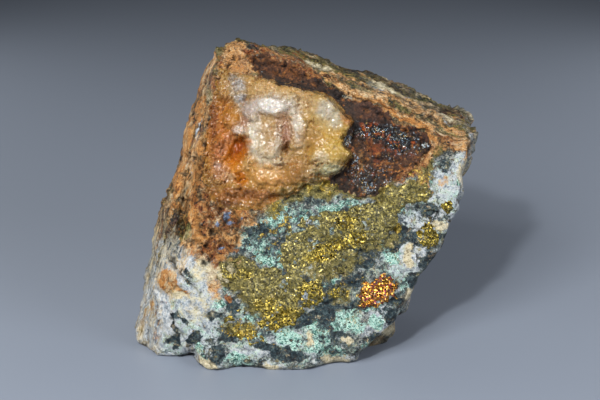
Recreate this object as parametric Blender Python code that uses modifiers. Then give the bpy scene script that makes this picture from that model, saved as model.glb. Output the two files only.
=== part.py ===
"""A cabinet specimen of chalcopyrite with quartz and goethite on its host rock.

Units are metres and +Z is up. The broken front face looks towards -Y and leans back. The specimen stands
on its flat base at Z = 0, with the origin under the middle of its box. Every mineral body is one object.
"""

import math

import bmesh
import bpy
from mathutils import Matrix, Vector, noise

MM = 0.001

# Driving dimensions
FACE_LEAN = math.radians(20.0)  # how far the broken front face leans back from upright
FACE_FOOT = Vector((0.0, -25.0, 0.0)) * MM  # where the face's own coordinates start
SEAM = 0.3 * MM  # gap that neighbouring bodies keep
DEEP = 6.0 * MM  # how far a large mineral body reaches into the rock behind the face
SHALLOW = 2.2 * MM  # the same for a small one at the rim
CUT_HEIGHT = 25.0 * MM  # how far a pocket's cutter reaches out in front of the face
ROCK_GRAIN = 1.5 * MM  # voxel that the rock's surface is made at
ROCK_TRIANGLES = 4600
ORE_SKIN_TRIANGLES = 10400
CRUST_SKIN_TRIANGLES = 9000
BED_SKIN_TRIANGLES = 2400

# The face's own frame: across, up the slope, and out of the rock
FACE_ACROSS = Vector((1.0, 0.0, 0.0))
FACE_UP = Vector((0.0, math.sin(FACE_LEAN), math.cos(FACE_LEAN)))
FACE_OUT = Vector((0.0, -math.cos(FACE_LEAN), math.sin(FACE_LEAN)))

# Corners of the block before weathering, in mm
FRONT_RIM = [
    (-15.4, 4.0, 79.0),
    (-20.6, 3.2, 76.6),
    (-24.4, -1.4, 65.6),
    (-28.0, -9.2, 43.0),
    (-35.8, -15.0, 26.0),
    (-38.6, -16.8, 4.0),
    (-24.6, -25.4, -1.5),
    (2.5, -25.2, -1.5),
    (13.4, -23.4, 3.0),
    (24.6, -20.4, 13.0),
    (37.6, -12.7, 34.0),
    (42.2, -8.2, 46.0),
    (44.6, -6.0, 50.0),
    (45.6, -2.2, 56.6),
]
BACK_RIDGE = [
    (-21.6, 14.0, 74.2),
    (-15.7, 12.0, 77.4),
    (-4.8, 21.0, 73.8),
    (6.5, 24.0, 71.0),
    (19.4, 25.0, 65.6),
    (34.5, 21.0, 60.2),
    (40.8, 17.0, 58.0),
    (44.4, 11.0, 55.8),
    (45.8, 3.0, 54.2),
]
LEFT_RIDGE = [
    (-26.6, 12.0, 63.7),
    (-29.9, 8.0, 51.1),
    (-35.7, 4.0, 33.6),
    (-41.6, 1.5, 13.7),
    (-45.2, -1.2, -1.5),
]
BACK_AND_BASE = [
    (-43.0, 3.0, -1.5),
    (-33.0, 15.0, -1.5),
    (-14.0, 21.0, -1.5),
    (8.0, 21.0, -1.5),
    (17.6, 13.0, -1.5),
    (23.0, -6.0, -1.5),
    (13.4, -20.0, -1.5),
    (-38.0, -16.0, -1.5),
    (-22.0, 22.0, 46.0),
    (4.0, 26.0, 36.0),
    (24.5, 20.0, 37.0),
]

# Lumps (+) and hollows (-) round the block: place, radius and height in mm
LUMPS = [
    ((-15.5, 6.0, 79.0), 3.2, 1.4),  # apex knob
    ((-21.5, 8.0, 75.5), 2.6, 1.0),  # left shoulder of the apex
    ((-18.2, 4.0, 79.0), 1.8, -1.2),  # notch between the two
    ((-10.0, 14.0, 76.5), 4.0, -1.2),  # dip behind the apex
    ((13.5, 24.0, 66.0), 5.0, -1.0),  # dip in the long edge
    ((30.0, 20.0, 61.0), 4.0, 0.9),
    ((44.2, -6.0, 47.5), 2.2, -1.6),  # step below the right corner
    ((-42.5, -8.0, 3.0), 4.0, 1.4),  # foot of the left corner
    ((-38.5, -16.5, 1.0), 3.0, 1.2),
    ((-30.0, -21.0, 0.0), 4.6, -5.2),  # undercut between the two front feet
    ((-14.0, -25.5, -0.5), 3.4, -2.6),  # shallow arches under the front edge
    ((9.5, -24.8, -0.5), 4.0, -4.0),
    ((24.0, -8.0, 3.0), 4.5, 1.8),  # block under the right edge
    ((20.5, -17.5, 3.0), 4.0, -3.4),  # hollow in front of it
    ((2.0, 26.0, 58.0), 9.0, -2.2),  # scars and swellings of the back
    ((-20.0, 22.0, 30.0), 10.0, 1.8),
    ((20.0, 22.0, 22.0), 9.0, -2.4),
    ((36.0, 4.0, 38.0), 7.0, -2.0),  # scar under the right corner
    ((28.0, -2.0, 20.0), 6.0, 1.6),
]
# The same on the front face: across, up, radius and height in mm
FACE_LUMPS = [
    (-22.3, 3.0, 4.0, 1.8),
    (-14.1, 4.8, 4.0, 0.9),
    (-4.6, 8.5, 3.8, 0.7),
    (-1.5, 1.0, 3.4, 1.2),
    (3.4, 5.2, 2.8, 1.4),
    (11.5, 6.6, 3.8, 0.9),
    (22.3, 12.6, 3.6, 0.9),
    (24.6, 29.6, 4.0, 1.3),
    (9.7, 24.6, 2.2, 0.8),
    (2.6, 24.4, 2.0, 0.8),
    (39.6, 52.6, 4.0, 0.8),
    (35.0, 41.5, 3.4, 0.7),
    (-32.8, 22.0, 4.2, 1.0),
    (-29.5, 13.1, 5.0, 0.9),
    (-36.0, 7.6, 3.5, 1.0),
    (-19.2, 28.5, 3.0, -1.1),
    (-19.2, 40.0, 3.6, -1.3),
    (-7.7, 42.6, 3.6, -0.8),
    (-9.7, 33.6, 4.2, -0.8),
    (-24.6, 32.5, 2.6, 1.1),
    (-24.4, 40.5, 2.2, 0.9),
    (-13.8, 79.6, 2.4, 0.8),
    (-18.6, 75.4, 2.2, 0.7),
    (-22.0, 71.6, 2.6, -0.9),
]
# Ridges (+) and creases (-) that follow a line on the face: their points, then radius and height in mm
FACE_LINES = [
    (((-12.7, 82.6), (-3.6, 80.6), (6.8, 75.6), (13.7, 71.4), (20.0, 70.6)), 1.7, 1.0),
    (((20.0, 70.6), (23.9, 66.6), (33.7, 62.8), (35.4, 58.8)), 1.7, 1.0),
    (((35.4, 58.8), (30.0, 53.0), (22.0, 48.6)), 1.5, 0.6),
    (((-24.0, 73.4), (-24.9, 56.7), (-26.7, 49.0), (-30.5, 37.4)), 1.5, -1.3),
    (((-22.4, 69.0), (-23.2, 56.0), (-24.2, 46.0)), 1.4, 0.8),
    (((-35.4, 27.4), (-29.0, 22.0), (-24.0, 12.0)), 2.0, 0.9),
    (((6.0, 77.6), (16.0, 76.0), (27.0, 69.0), (38.0, 62.0)), 1.4, -1.2),
]
RIND_GRAIN = (Vector((0.93, 0.0, -0.37)), Vector((-0.24, -0.26, -0.93)))  # on the top and on the left
GRAIN_STRETCH = 0.22  # how much the rind's pattern is drawn out along its grain

# Outlines of the mineral bodies on the front face, in mm across it and up its slope, clockwise
QUARTZ_OUTLINE = [
    (-20.4, 77.0), (-15.5, 75.6), (-9.4, 74.6), (-3.6, 72.4), (2.2, 72.0), (7.6, 69.0),
    (10.0, 66.0), (13.6, 63.9), (11.6, 60.2), (10.4, 58.6), (12.4, 55.0), (10.2, 51.4),
    (6.6, 49.2), (2.0, 48.6), (-2.4, 45.4), (-9.0, 46.0), (-14.6, 45.4), (-19.6, 44.8),
    (-22.6, 48.0), (-23.6, 54.5), (-22.8, 62.0), (-22.0, 69.5),
]
GOETHITE_OUTLINE = [
    (-13.0, 80.4), (-8.8, 81.2), (-4.6, 79.6), (0.6, 77.2), (5.0, 75.0), (7.4, 72.6),
    (12.0, 69.8), (17.4, 69.0), (21.8, 66.9), (24.6, 62.6), (29.0, 62.2), (32.8, 60.6),
    (33.4, 57.4), (30.8, 54.0), (27.2, 51.6), (22.6, 48.8), (18.6, 45.6), (13.2, 45.6),
    (8.0, 48.0), (6.0, 54.0), (6.0, 62.0), (0.0, 69.0), (-8.0, 73.0), (-11.4, 77.0),
]
CHALCOPYRITE_OUTLINE = [
    (17.6, 44.2), (21.8, 47.0), (26.6, 47.4), (32.4, 47.8), (34.6, 45.4), (31.0, 43.0),
    (26.6, 42.4), (25.2, 38.2), (22.4, 34.6), (17.6, 32.8), (14.6, 30.0), (8.6, 28.0),
    (5.6, 25.4), (6.2, 21.0), (5.8, 17.4), (1.8, 16.0), (-1.6, 12.4), (-6.6, 10.4),
    (-10.8, 12.8), (-13.0, 17.4), (-15.8, 21.6), (-20.0, 24.4), (-20.6, 27.4),
    (-15.0, 29.4), (-10.0, 27.8), (-5.2, 26.2), (-4.6, 31.0), (-3.8, 35.4), (0.6, 38.8),
    (6.4, 40.6), (12.2, 41.2),
]
UPPER_BLEB_OUTLINE = [(37.0, 43.8), (39.0, 44.4), (40.1, 42.6), (39.4, 40.6), (37.4, 40.4), (36.4, 42.0)]
LOWER_BLEB_OUTLINE = [
    (31.2, 36.6), (33.6, 38.0), (35.6, 36.2), (36.6, 33.0), (34.4, 30.6), (32.0, 31.4), (30.4, 33.6),
]
TARNISHED_BLEB_OUTLINE = [
    (16.4, 22.2), (19.6, 24.4), (22.8, 25.2), (25.2, 22.6), (24.8, 19.2), (21.6, 17.4),
    (17.6, 16.0), (15.0, 17.4), (15.2, 20.4),
]
MIDDLE_BLEB_OUTLINE = [(7.8, 21.4), (10.2, 21.8), (11.4, 20.2), (10.0, 18.6), (8.0, 18.8), (7.2, 20.2)]
LEFT_BLEB_OUTLINE = [(-18.0, 15.0), (-15.2, 15.6), (-14.2, 13.6), (-15.8, 12.2), (-18.0, 12.6), (-19.2, 13.8)]
FOOT_BLEB_OUTLINE = [
    (-15.8, 10.6), (-12.4, 10.8), (-10.0, 9.2), (-9.4, 7.4), (-12.0, 6.8), (-14.6, 8.0), (-16.4, 9.4),
]

# Swellings of the quartz bed under its crystals: across, up, radius and height in mm
QUARTZ_SWELLS = [
    (-6.0, 59.0, 7.0, 3.0),
    (7.2, 65.0, 6.0, 3.2),
    (6.6, 55.4, 5.6, 3.2),
    (-6.5, 50.0, 5.0, 2.2),
    (-8.0, 70.0, 5.5, 1.6),
    (-16.4, 55.6, 3.0, -2.2),  # the two hollows on its left side
    (-13.6, 50.6, 2.0, -1.4),
]
# Blocky quartz crystals: across, up, how far the top stands out, half their sizes in mm, turn in degrees
QUARTZ_LUMPS = [
    (7.0, 66.0, 6.0, 6.4, 5.2, -24),  # the two large blocks on the right
    (6.6, 55.8, 6.2, 6.2, 4.8, -12),
    (11.8, 62.6, 3.8, 2.8, 2.8, 20),
    (-6.8, 67.6, 6.6, 4.4, 2.4, -4),  # white slabs in the middle
    (-0.8, 61.4, 7.2, 2.3, 5.0, 7),
    (-11.6, 58.8, 6.6, 2.8, 6.2, -7),
    (-8.0, 57.2, 5.8, 3.2, 5.8, 0),
    (-5.0, 60.4, 6.4, 1.7, 4.8, -7),
    (-11.9, 66.4, 4.8, 2.6, 2.9, 20),
    (-2.4, 67.6, 6.0, 2.7, 2.7, 12),
    (-5.4, 53.6, 5.2, 2.9, 2.5, 10),
    (-1.4, 51.6, 5.8, 2.9, 3.8, 5),  # stained blocks along the foot
    (-7.2, 49.6, 5.6, 4.1, 2.9, -6),
    (-12.0, 48.8, 4.2, 2.9, 2.3, 14),
    (2.9, 51.6, 4.8, 2.7, 2.4, 14),
    (-17.2, 49.4, 3.2, 2.7, 2.7, 30),
    (-16.9, 63.0, 4.0, 2.9, 4.4, -8),  # stained blocks on the left
    (-15.9, 60.8, 4.9, 1.5, 1.5, 45),
    (-20.2, 55.8, 2.8, 2.6, 4.8, -18),
    (-20.4, 65.6, 2.6, 2.0, 3.6, 12),
    (-8.6, 72.2, 4.4, 3.5, 2.7, -10),  # sugary blocks along the top
    (-2.4, 71.2, 4.6, 3.1, 2.5, -16),
    (3.6, 70.4, 4.4, 3.1, 2.3, -22),
    (-14.6, 71.4, 4.0, 3.1, 3.1, 15),
    (-18.6, 72.4, 3.2, 2.5, 3.0, 0),
]


# ---- helpers -------------------------------------------------------------------------------------------


def clear_scene():
    for obj in list(bpy.data.objects):
        bpy.data.objects.remove(obj)


def new_collection(name):
    collection = bpy.data.collections.new(name)
    bpy.context.scene.collection.children.link(collection)
    return collection


def new_object(name, mesh, collection):
    obj = bpy.data.objects.new(name, mesh)
    collection.objects.link(obj)
    return obj


def new_helper(name, mesh, collection):
    """An object that only shapes others: out of the render and drawn as wire."""
    obj = new_object(name, mesh, collection)
    obj.hide_render = True
    obj.display_type = "WIRE"
    return obj


def mesh_of(bm, name):
    mesh = bpy.data.meshes.new(name)
    bm.to_mesh(mesh)
    bm.free()
    return mesh


def evaluated_mesh(obj):
    """The object's mesh with its modifiers applied."""
    bpy.context.view_layer.update()
    graph = bpy.context.evaluated_depsgraph_get()
    return bpy.data.meshes.new_from_object(obj.evaluated_get(graph))


def apply_modifiers(obj):
    mesh = evaluated_mesh(obj)
    obj.modifiers.clear()
    obj.data = mesh


def material(name, colour, roughness, metallic=0.0):
    made = bpy.data.materials.new(name)
    made.use_nodes = True
    shader = made.node_tree.nodes["Principled BSDF"]
    shader.inputs["Base Color"].default_value = (*colour, 1.0)
    shader.inputs["Roughness"].default_value = roughness
    shader.inputs["Metallic"].default_value = metallic
    return made


def on_face(across, up, out=0.0):
    """A point given in the face's own coordinates, all in mm."""
    return FACE_FOOT + (FACE_ACROSS * across + FACE_UP * up + FACE_OUT * out) * MM


def smooth_step(low, high, value):
    share = min(1.0, max(0.0, (value - low) / (high - low)))
    return share * share * (3.0 - 2.0 * share)


def fractal(point, size, octaves=3):
    """Fractal noise from about -1 to 1, with its largest lumps about this many metres across."""
    return noise.fractal(point / size, 0.9, 2.1, octaves)


# ---- the block and its weathered skin ------------------------------------------------------------------


def wrap(bm):
    """Puts a convex hull round the points and drops those left inside it."""
    hull = bmesh.ops.convex_hull(bm, input=bm.verts)
    loose = set(hull["geom_interior"]) | set(hull["geom_unused"])
    bmesh.ops.delete(bm, geom=[v for v in loose if isinstance(v, bmesh.types.BMVert)], context="VERTS")
    bmesh.ops.recalc_face_normals(bm, faces=bm.faces)


def block_hull(collection):
    """The block before weathering: the hull of its corners."""
    bm = bmesh.new()
    for corner in FRONT_RIM + BACK_RIDGE + LEFT_RIDGE + BACK_AND_BASE:
        bm.verts.new(Vector(corner) * MM)
    wrap(bm)
    obj = new_helper("block_hull", mesh_of(bm, "block_hull"), collection)
    remesh = obj.modifiers.new("even_grain", "REMESH")
    remesh.mode = "VOXEL"
    remesh.voxel_size = ROCK_GRAIN
    apply_modifiers(obj)
    return obj


def bell(distance, radius):
    """1 at no distance, falling smoothly to 0 by three radii."""
    return math.exp(-((distance / radius) ** 2)) if distance < 3 * radius else 0.0


def gap_to_line(point, start, end):
    """The distance from a point to a line's stretch from start to end."""
    along = end - start
    share = min(1.0, max(0.0, (point - start).dot(along) / along.length_squared))
    return (point - start - along * share).length


def lumps_on_face(point, lumps):
    """The height of a list of lumps on the front face at a point, in mm."""
    spots = ((bell((point - on_face(u, v)).length / MM, radius), height) for u, v, radius, height in lumps)
    return sum(share * height for share, height in spots)


def placed_relief(point):
    """The lumps, hollows, ridges and creases that have a place of their own, in mm."""
    relief = lumps_on_face(point, FACE_LUMPS)
    for place, radius, height in LUMPS:
        relief += height * bell((point - Vector(place) * MM).length / MM, radius)
    for line, radius, height in FACE_LINES:
        places = [on_face(*spot) for spot in line]
        nearest = min(gap_to_line(point, *ends) for ends in zip(places, places[1:]))
        relief += height * bell(nearest / MM, radius)
    return relief


def rock_relief(point, normal):
    """How far the rock's surface stands out of the hull at a point, in mm."""
    front = smooth_step(0.75, 0.95, normal.dot(FACE_OUT))
    top = smooth_step(0.35, 0.7, normal.z) * (1.0 - front)
    left = smooth_step(0.35, 0.7, -normal.x) * (1.0 - front)
    broken = max(0.0, 1.0 - front - top - left)
    relief = 0.7 * fractal(point, 14 * MM) + 0.35 * fractal(point, 5 * MM, 2)
    for share, grain in zip((top, left), RIND_GRAIN):
        drawn_out = point - (1.0 - GRAIN_STRETCH) * point.dot(grain) * grain
        relief += share * 1.3 * fractal(drawn_out, 4.0 * MM, 2)
    level = 2.2 * fractal(point, 22 * MM, 2)
    terrace = math.floor(level) + smooth_step(0.55, 0.95, level - math.floor(level))
    behind_rim = smooth_step(3.0, 9.0, (FACE_FOOT - point).dot(FACE_OUT) / MM)
    relief += broken * behind_rim * 1.5 * terrace
    return relief + placed_relief(point)


def weather(mesh, relief):
    """Moves every vertex along its normal by relief(point, normal), in mm."""
    moves = [v.normal * relief(v.co, v.normal) * MM for v in mesh.vertices]
    for vertex, move in zip(mesh.vertices, moves):
        vertex.co += move
    mesh.update()


def thin_out(obj, triangles):
    """Collapses the mesh to about this many triangles."""
    triangulate = obj.modifiers.new("triangles", "TRIANGULATE")
    triangulate.quad_method = "BEAUTY"
    apply_modifiers(obj)
    decimate = obj.modifiers.new("thin_out", "DECIMATE")
    decimate.ratio = min(1.0, triangles / len(obj.data.polygons))
    apply_modifiers(obj)


def slice_flat(obj, height=0.0):
    """Cuts off what lies below a height and closes the cut."""
    bm = bmesh.new()
    bm.from_mesh(obj.data)
    geometry = bm.verts[:] + bm.edges[:] + bm.faces[:]
    cut = bmesh.ops.bisect_plane(
        bm, geom=geometry, plane_co=(0, 0, height), plane_no=(0, 0, 1), clear_inner=True, dist=1e-7
    )
    edges = [e for e in cut["geom_cut"] if isinstance(e, bmesh.types.BMEdge)]
    bmesh.ops.triangle_fill(bm, use_beauty=True, use_dissolve=False, edges=edges, normal=(0, 0, -1))
    bmesh.ops.recalc_face_normals(bm, faces=bm.faces)
    bm.to_mesh(obj.data)
    bm.free()


def give_skin(obj, relief, triangles):
    """Weathers the block into a skin and thins its mesh out."""
    weather(obj.data, relief)
    thin_out(obj, triangles)


# ---- mineral bodies ------------------------------------------------------------------------------------


def grown(outline, by):
    """The outline moved outwards by a distance in mm."""
    moved = []
    count = len(outline)
    for i in range(count):
        before, here, after = (Vector(outline[(i + k) % count]) for k in (-1, 0, 1))
        first = (here - before).normalized()
        second = (after - here).normalized()
        out = (Vector((-first.y, first.x)) + Vector((-second.y, second.x))).normalized()
        reach = by / max(0.5, out.dot(Vector((-first.y, first.x))))
        moved.append(here + out * reach)
    return moved


def prism(name, outline, bottom, top, collection):
    """A closed prism over an outline on the face, from bottom to top, in mm out of the face."""
    bm = bmesh.new()
    floor = bm.faces.new([bm.verts.new(on_face(p[0], p[1], bottom)) for p in outline])
    walls = bmesh.ops.extrude_face_region(bm, geom=[floor])
    lifted = [v for v in walls["geom"] if isinstance(v, bmesh.types.BMVert)]
    bmesh.ops.translate(bm, verts=lifted, vec=FACE_OUT * (top - bottom) * MM)
    bmesh.ops.recalc_face_normals(bm, faces=bm.faces)
    bmesh.ops.triangulate(bm, faces=bm.faces)
    return new_helper(name, mesh_of(bm, name), collection)


def boolean(obj, other, operation):
    step = obj.modifiers.new(operation.lower(), "BOOLEAN")
    step.operation = operation
    step.solver = "EXACT"
    step.object = other
    apply_modifiers(obj)


def granular(height, coarse, fine, swells=()):
    """Relief of a granular crust: its height over the rock, the sizes of its grains in mm, and its swells."""

    def relief(point, normal):
        near, _ = noise.voronoi(point / (coarse * MM))
        grains = 0.6 * (0.5 - near[0]) + 0.5 * fractal(point, fine * MM, 2)
        return rock_relief(point, normal) + height + grains + lumps_on_face(point, swells)

    return relief


def quartz_lump(lump, index, collection):
    """One blocky crystal: the hull of jittered points on four six-sided rings, turned on the face."""
    across, up, out, half_width, half_length, turn = lump
    bm = bmesh.new()
    half_depth = out / 2 + 1.6
    for level, spread in ((-1.0, 0.9), (0.35, 1.12), (0.75, 0.92), (1.0, 0.47)):
        for side in range(6):
            angle = math.radians(60 * side + 30)
            jitter = noise.cell_vector(Vector((index * 7.3, side * 3.1, level * 5.7)))
            reach = spread * (1.0 + 0.22 * (jitter.x - 0.5))
            x = math.cos(angle) * half_width * reach
            y = math.sin(angle) * half_length * reach
            bm.verts.new((x, y, half_depth * (level + 0.16 * (jitter.y - 0.5))))
    wrap(bm)
    turned = Matrix.Rotation(math.radians(turn), 4, "Z")
    axes = Matrix((FACE_ACROSS, FACE_UP, FACE_OUT)).transposed().to_4x4()
    place = Matrix.Translation(on_face(across, up, out - half_depth))
    bm.transform(place @ axes @ Matrix.Scale(MM, 4) @ turned)
    return new_object(f"quartz_lump_{index:02d}", mesh_of(bm, "quartz_lump"), collection)


def grow_crystals(body, bounds):
    """Joins the blocky crystals to the quartz and keeps the whole within its bounds."""
    lumps = new_collection("quartz_lumps")
    for index, lump in enumerate(QUARTZ_LUMPS):
        quartz_lump(lump, index, lumps)
    join = body.modifiers.new("join", "BOOLEAN")
    join.operation = "UNION"
    join.solver = "EXACT"
    join.operand_type = "COLLECTION"
    join.collection = lumps
    apply_modifiers(body)
    for obj in list(lumps.objects):
        bpy.data.objects.remove(obj)
    bpy.data.collections.remove(lumps)
    boolean(body, bounds, "INTERSECT")


# ---- the specimen --------------------------------------------------------------------------------------


# Name, outline, depth, skin and finish of every mineral body. An earlier one keeps its whole outline.
BODIES = [
    ("quartz_cluster", QUARTZ_OUTLINE, DEEP, "bed", "quartz"),
    ("chalcopyrite_mass", CHALCOPYRITE_OUTLINE, DEEP, "ore", "chalcopyrite"),
    ("chalcopyrite_bleb_upper_right", UPPER_BLEB_OUTLINE, SHALLOW, "ore", "chalcopyrite"),
    ("chalcopyrite_bleb_lower_right", LOWER_BLEB_OUTLINE, SHALLOW, "ore", "chalcopyrite"),
    ("chalcopyrite_bleb_middle", MIDDLE_BLEB_OUTLINE, SHALLOW, "ore", "chalcopyrite"),
    ("chalcopyrite_bleb_left", LEFT_BLEB_OUTLINE, SHALLOW, "ore", "chalcopyrite"),
    ("chalcopyrite_bleb_foot", FOOT_BLEB_OUTLINE, SHALLOW, "ore", "chalcopyrite"),
    ("tarnished_chalcopyrite_bleb", TARNISHED_BLEB_OUTLINE, SHALLOW, "ore", "tarnished"),
    ("goethite_crust", GOETHITE_OUTLINE, DEEP, "crust", "goethite"),
]


def set_finish(obj, finish):
    obj.data.materials.clear()
    obj.data.materials.append(finish)


def centre(specimen, helpers, rock):
    """Brings the middle of the rock's box over the origin."""
    places = [v.co for v in rock.data.vertices]
    middle = [(min(p[axis] for p in places) + max(p[axis] for p in places)) / 2 for axis in (0, 1)]
    shift = Matrix.Translation((-middle[0], -middle[1], 0.0))
    for obj in list(specimen.objects) + list(helpers.objects):
        obj.data.transform(shift)


def main():
    clear_scene()
    helpers = new_collection("cutters")
    specimen = new_collection("chalcopyrite_specimen")
    finishes = {
        "rock": material("host_rock", (0.47, 0.44, 0.38), 0.85),
        "quartz": material("quartz", (0.78, 0.66, 0.45), 0.35),
        "chalcopyrite": material("chalcopyrite", (0.50, 0.38, 0.11), 0.40, 0.9),
        "tarnished": material("tarnished_chalcopyrite", (0.55, 0.25, 0.10), 0.35, 0.9),
        "goethite": material("goethite", (0.12, 0.06, 0.04), 0.6),
    }

    hull = block_hull(helpers)
    rock = new_object("host_rock", hull.data.copy(), specimen)
    give_skin(rock, rock_relief, ROCK_TRIANGLES)
    slice_flat(rock)
    set_finish(rock, finishes["rock"])
    reliefs = {
        "ore": (granular(1.0, 3.2, 2.0), ORE_SKIN_TRIANGLES),
        "crust": (granular(-2.2, 2.6, 2.0), CRUST_SKIN_TRIANGLES),
        "bed": (granular(0.8, 3.6, 3.0, QUARTZ_SWELLS), BED_SKIN_TRIANGLES),
    }
    skins = {}
    for name, (relief, triangles) in reliefs.items():
        skins[name] = new_helper(name + "_skin", hull.data.copy(), helpers)
        give_skin(skins[name], relief, triangles)

    pockets = []
    for name, outline, depth, skin, finish in BODIES:
        body = new_object(name, skins[skin].data.copy(), specimen)
        bounds = prism(name + "_bounds", outline, -depth / MM, CUT_HEIGHT / MM, helpers)
        boolean(body, bounds, "INTERSECT")
        if name == "quartz_cluster":
            grow_crystals(body, bounds)
        for pocket in pockets:
            boolean(body, pocket, "DIFFERENCE")
        set_finish(body, finishes[finish])
        room = grown(outline, SEAM / MM)
        pockets.append(prism(name + "_pocket", room, -(depth + SEAM) / MM, CUT_HEIGHT / MM, helpers))
    for pocket in pockets:
        boolean(rock, pocket, "DIFFERENCE")
    centre(specimen, helpers, rock)


main()
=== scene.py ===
"""Dresses the chalcopyrite specimen: its host rock, quartz, chalcopyrite, tarnished ore and goethite crust.

Shapes are worked out in millimetres and turned to metres when a mesh is made. The front face has its own
coordinates: across it, up its slope, and out of it.
"""

import sys

import logging
import math
from collections.abc import Callable
from dataclasses import dataclass
from enum import Enum
from itertools import product

import bmesh
import bpy
import numpy as np
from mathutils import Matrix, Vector
from mathutils.bvhtree import BVHTree


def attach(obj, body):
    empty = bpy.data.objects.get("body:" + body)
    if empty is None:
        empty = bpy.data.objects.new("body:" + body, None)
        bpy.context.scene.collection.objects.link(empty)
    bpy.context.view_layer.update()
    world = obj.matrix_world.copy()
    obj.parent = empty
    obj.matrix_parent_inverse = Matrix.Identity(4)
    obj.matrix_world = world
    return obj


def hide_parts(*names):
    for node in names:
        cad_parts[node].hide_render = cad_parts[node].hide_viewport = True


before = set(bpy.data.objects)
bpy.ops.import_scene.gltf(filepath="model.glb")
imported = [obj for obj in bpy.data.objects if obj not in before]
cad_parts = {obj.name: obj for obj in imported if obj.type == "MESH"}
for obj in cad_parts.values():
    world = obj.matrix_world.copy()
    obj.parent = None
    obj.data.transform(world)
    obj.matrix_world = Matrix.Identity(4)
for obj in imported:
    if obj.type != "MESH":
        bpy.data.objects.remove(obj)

MM = 0.001
LOG = logging.getLogger("specimen")
Array = np.ndarray
# a place on the front face in mm: across and up
Spot = tuple[float, float]
# across, up, half width and half height in mm, turn in degrees, and strength; a stain also has a colour
Patch = tuple[float, ...]
Stain = tuple[float, float, float, float, float, float, str]
Packing = tuple[float, ...]
Line = tuple[float, float, tuple[Spot, ...]]
Mesh = bpy.types.Mesh
Piece = bpy.types.Object
Material = bpy.types.Material
NodeTree = bpy.types.NodeTree
Socket = bpy.types.NodeSocket


# ---- noise and relief --------------------------------------------------------------------------------

# large odd numbers that spread neighbouring cells and seeds over all 32-bit numbers
CELL_SCRAMBLERS = (0x9E3779B1, 0x85EBCA77, 0xC2B2AE3D)
SEED_SCRAMBLER = 0x27D4EB2F
NUMBER_SALTS = (0x165667B1, 0xD3A2646C, 0xFD7046C5)
LARGEST_WORD = 0xFFFFFFFF
WAVE_GAIN = 1.5
# each finer octave of noise: how much smaller and how much weaker than the last
OCTAVE_SHRINK = 2.1
OCTAVE_FADE = 0.55
# below every height that matters, in mm or in block widths
NOTHING = -9.0


def smooth(low: float, high: float, value: Array) -> Array:
    """Rises smoothly from 0 at low to 1 at high.

    Args:
        low: where the rise starts.
        high: where it ends; below low for a fall.
        value: what is measured.

    Returns:
        A share from 0 to 1 for each value.
    """
    share = np.clip((value - low) / (high - low), 0.0, 1.0)
    return share * share * (3.0 - 2.0 * share)


def cell_randoms(cells: Array, seed: int) -> Array:
    """Scrambles whole-number cells into random numbers.

    Args:
        cells: cells of a grid, three whole numbers each.
        seed: picks another set.

    Returns:
        Three numbers from 0 to 1 for each cell.
    """
    keys = cells.astype(np.int64).astype(np.uint32)
    mixed = np.uint32((seed * SEED_SCRAMBLER) & LARGEST_WORD)
    for axis, scrambler in enumerate(CELL_SCRAMBLERS):
        mixed = mixed ^ (keys[..., axis] * np.uint32(scrambler))
    numbers = []
    for salt in NUMBER_SALTS:
        scrambled = mixed ^ np.uint32(salt)
        scrambled = (scrambled ^ (scrambled >> np.uint32(15))) * np.uint32(0x2C1B3C6D)
        scrambled = (scrambled ^ (scrambled >> np.uint32(12))) * np.uint32(0x297A2D39)
        scrambled = scrambled ^ (scrambled >> np.uint32(15))
        numbers.append(scrambled / float(LARGEST_WORD))
    return np.stack(numbers, -1)


def waves(points: Array, size: float, seed: int) -> Array:
    """Gives smooth noise.

    Args:
        points: places in mm.
        size: how far apart its lumps are, in mm.
        seed: picks another pattern.

    Returns:
        Heights from about -1 to 1.
    """
    spots = points / size
    base = np.floor(spots)
    offset = spots - base
    fade = offset**3 * (offset * (offset * 6.0 - 15.0) + 10.0)
    total = np.zeros(len(points))
    for corner in product((0.0, 1.0), repeat=3):
        step = np.array(corner)
        slope = ((offset - step) * (cell_randoms(base + step, seed) * 2.0 - 1.0)).sum(-1)
        total += slope * np.where(step > 0.5, fade, 1.0 - fade).prod(-1)
    return total * WAVE_GAIN


def fractal(points: Array, size: float, seed: int, octaves: int = 3) -> Array:
    """Gives noise with finer noise on it.

    Args:
        points: places in mm.
        size: how far apart its largest lumps are, in mm.
        seed: picks another pattern.
        octaves: how many sizes it holds, each about half the last.

    Returns:
        Heights from about -1 to 1.
    """
    total = np.zeros(len(points))
    for octave in range(octaves):
        total += waves(points, size / OCTAVE_SHRINK**octave, seed + 17 * octave) * OCTAVE_FADE**octave
    return total / sum(OCTAVE_FADE**octave for octave in range(octaves))


def ridges(points: Array, size: float, seed: int) -> Array:
    """Gives sharp crests between hollows, from about -1 to 1, size mm apart."""
    return 1.0 - 2.5 * np.abs(waves(points, size, seed))


def mosaic(points: Array, size: float, seed: int, lean: float = 0.9, flat: float = 0.3) -> Array:
    """Gives the heights of a surface of blocks with tilted flat tops that have grown into each other.

    Args:
        points: places in mm.
        size: the blocks' mean width in mm.
        seed: picks another packing.
        lean: how steeply their tops tilt.
        flat: how far their tops reach before the sides fall away, in block widths.

    Returns:
        Heights in mm, about 0 on average.
    """
    margin, wander, uneven, side_fall = 0.1, 0.8, 0.12, 1.3
    spots = points / size
    base = np.floor(spots)
    tallest = np.full(len(points), NOTHING)
    for step in product((-1.0, 0.0, 1.0), repeat=3):
        cell = base + np.array(step)
        gap = spots - cell - margin - wander * cell_randoms(cell, seed)
        slopes = cell_randoms(cell, seed + 5) * 2.0 - 1.0
        away = np.sqrt((gap * gap).sum(-1))
        top = uneven * slopes.sum(-1) + lean * (slopes * gap).sum(-1)
        tallest = np.maximum(tallest, top - side_fall * np.maximum(away - flat, 0.0))
    return (tallest - tallest.mean()) * size if len(points) else tallest


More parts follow.
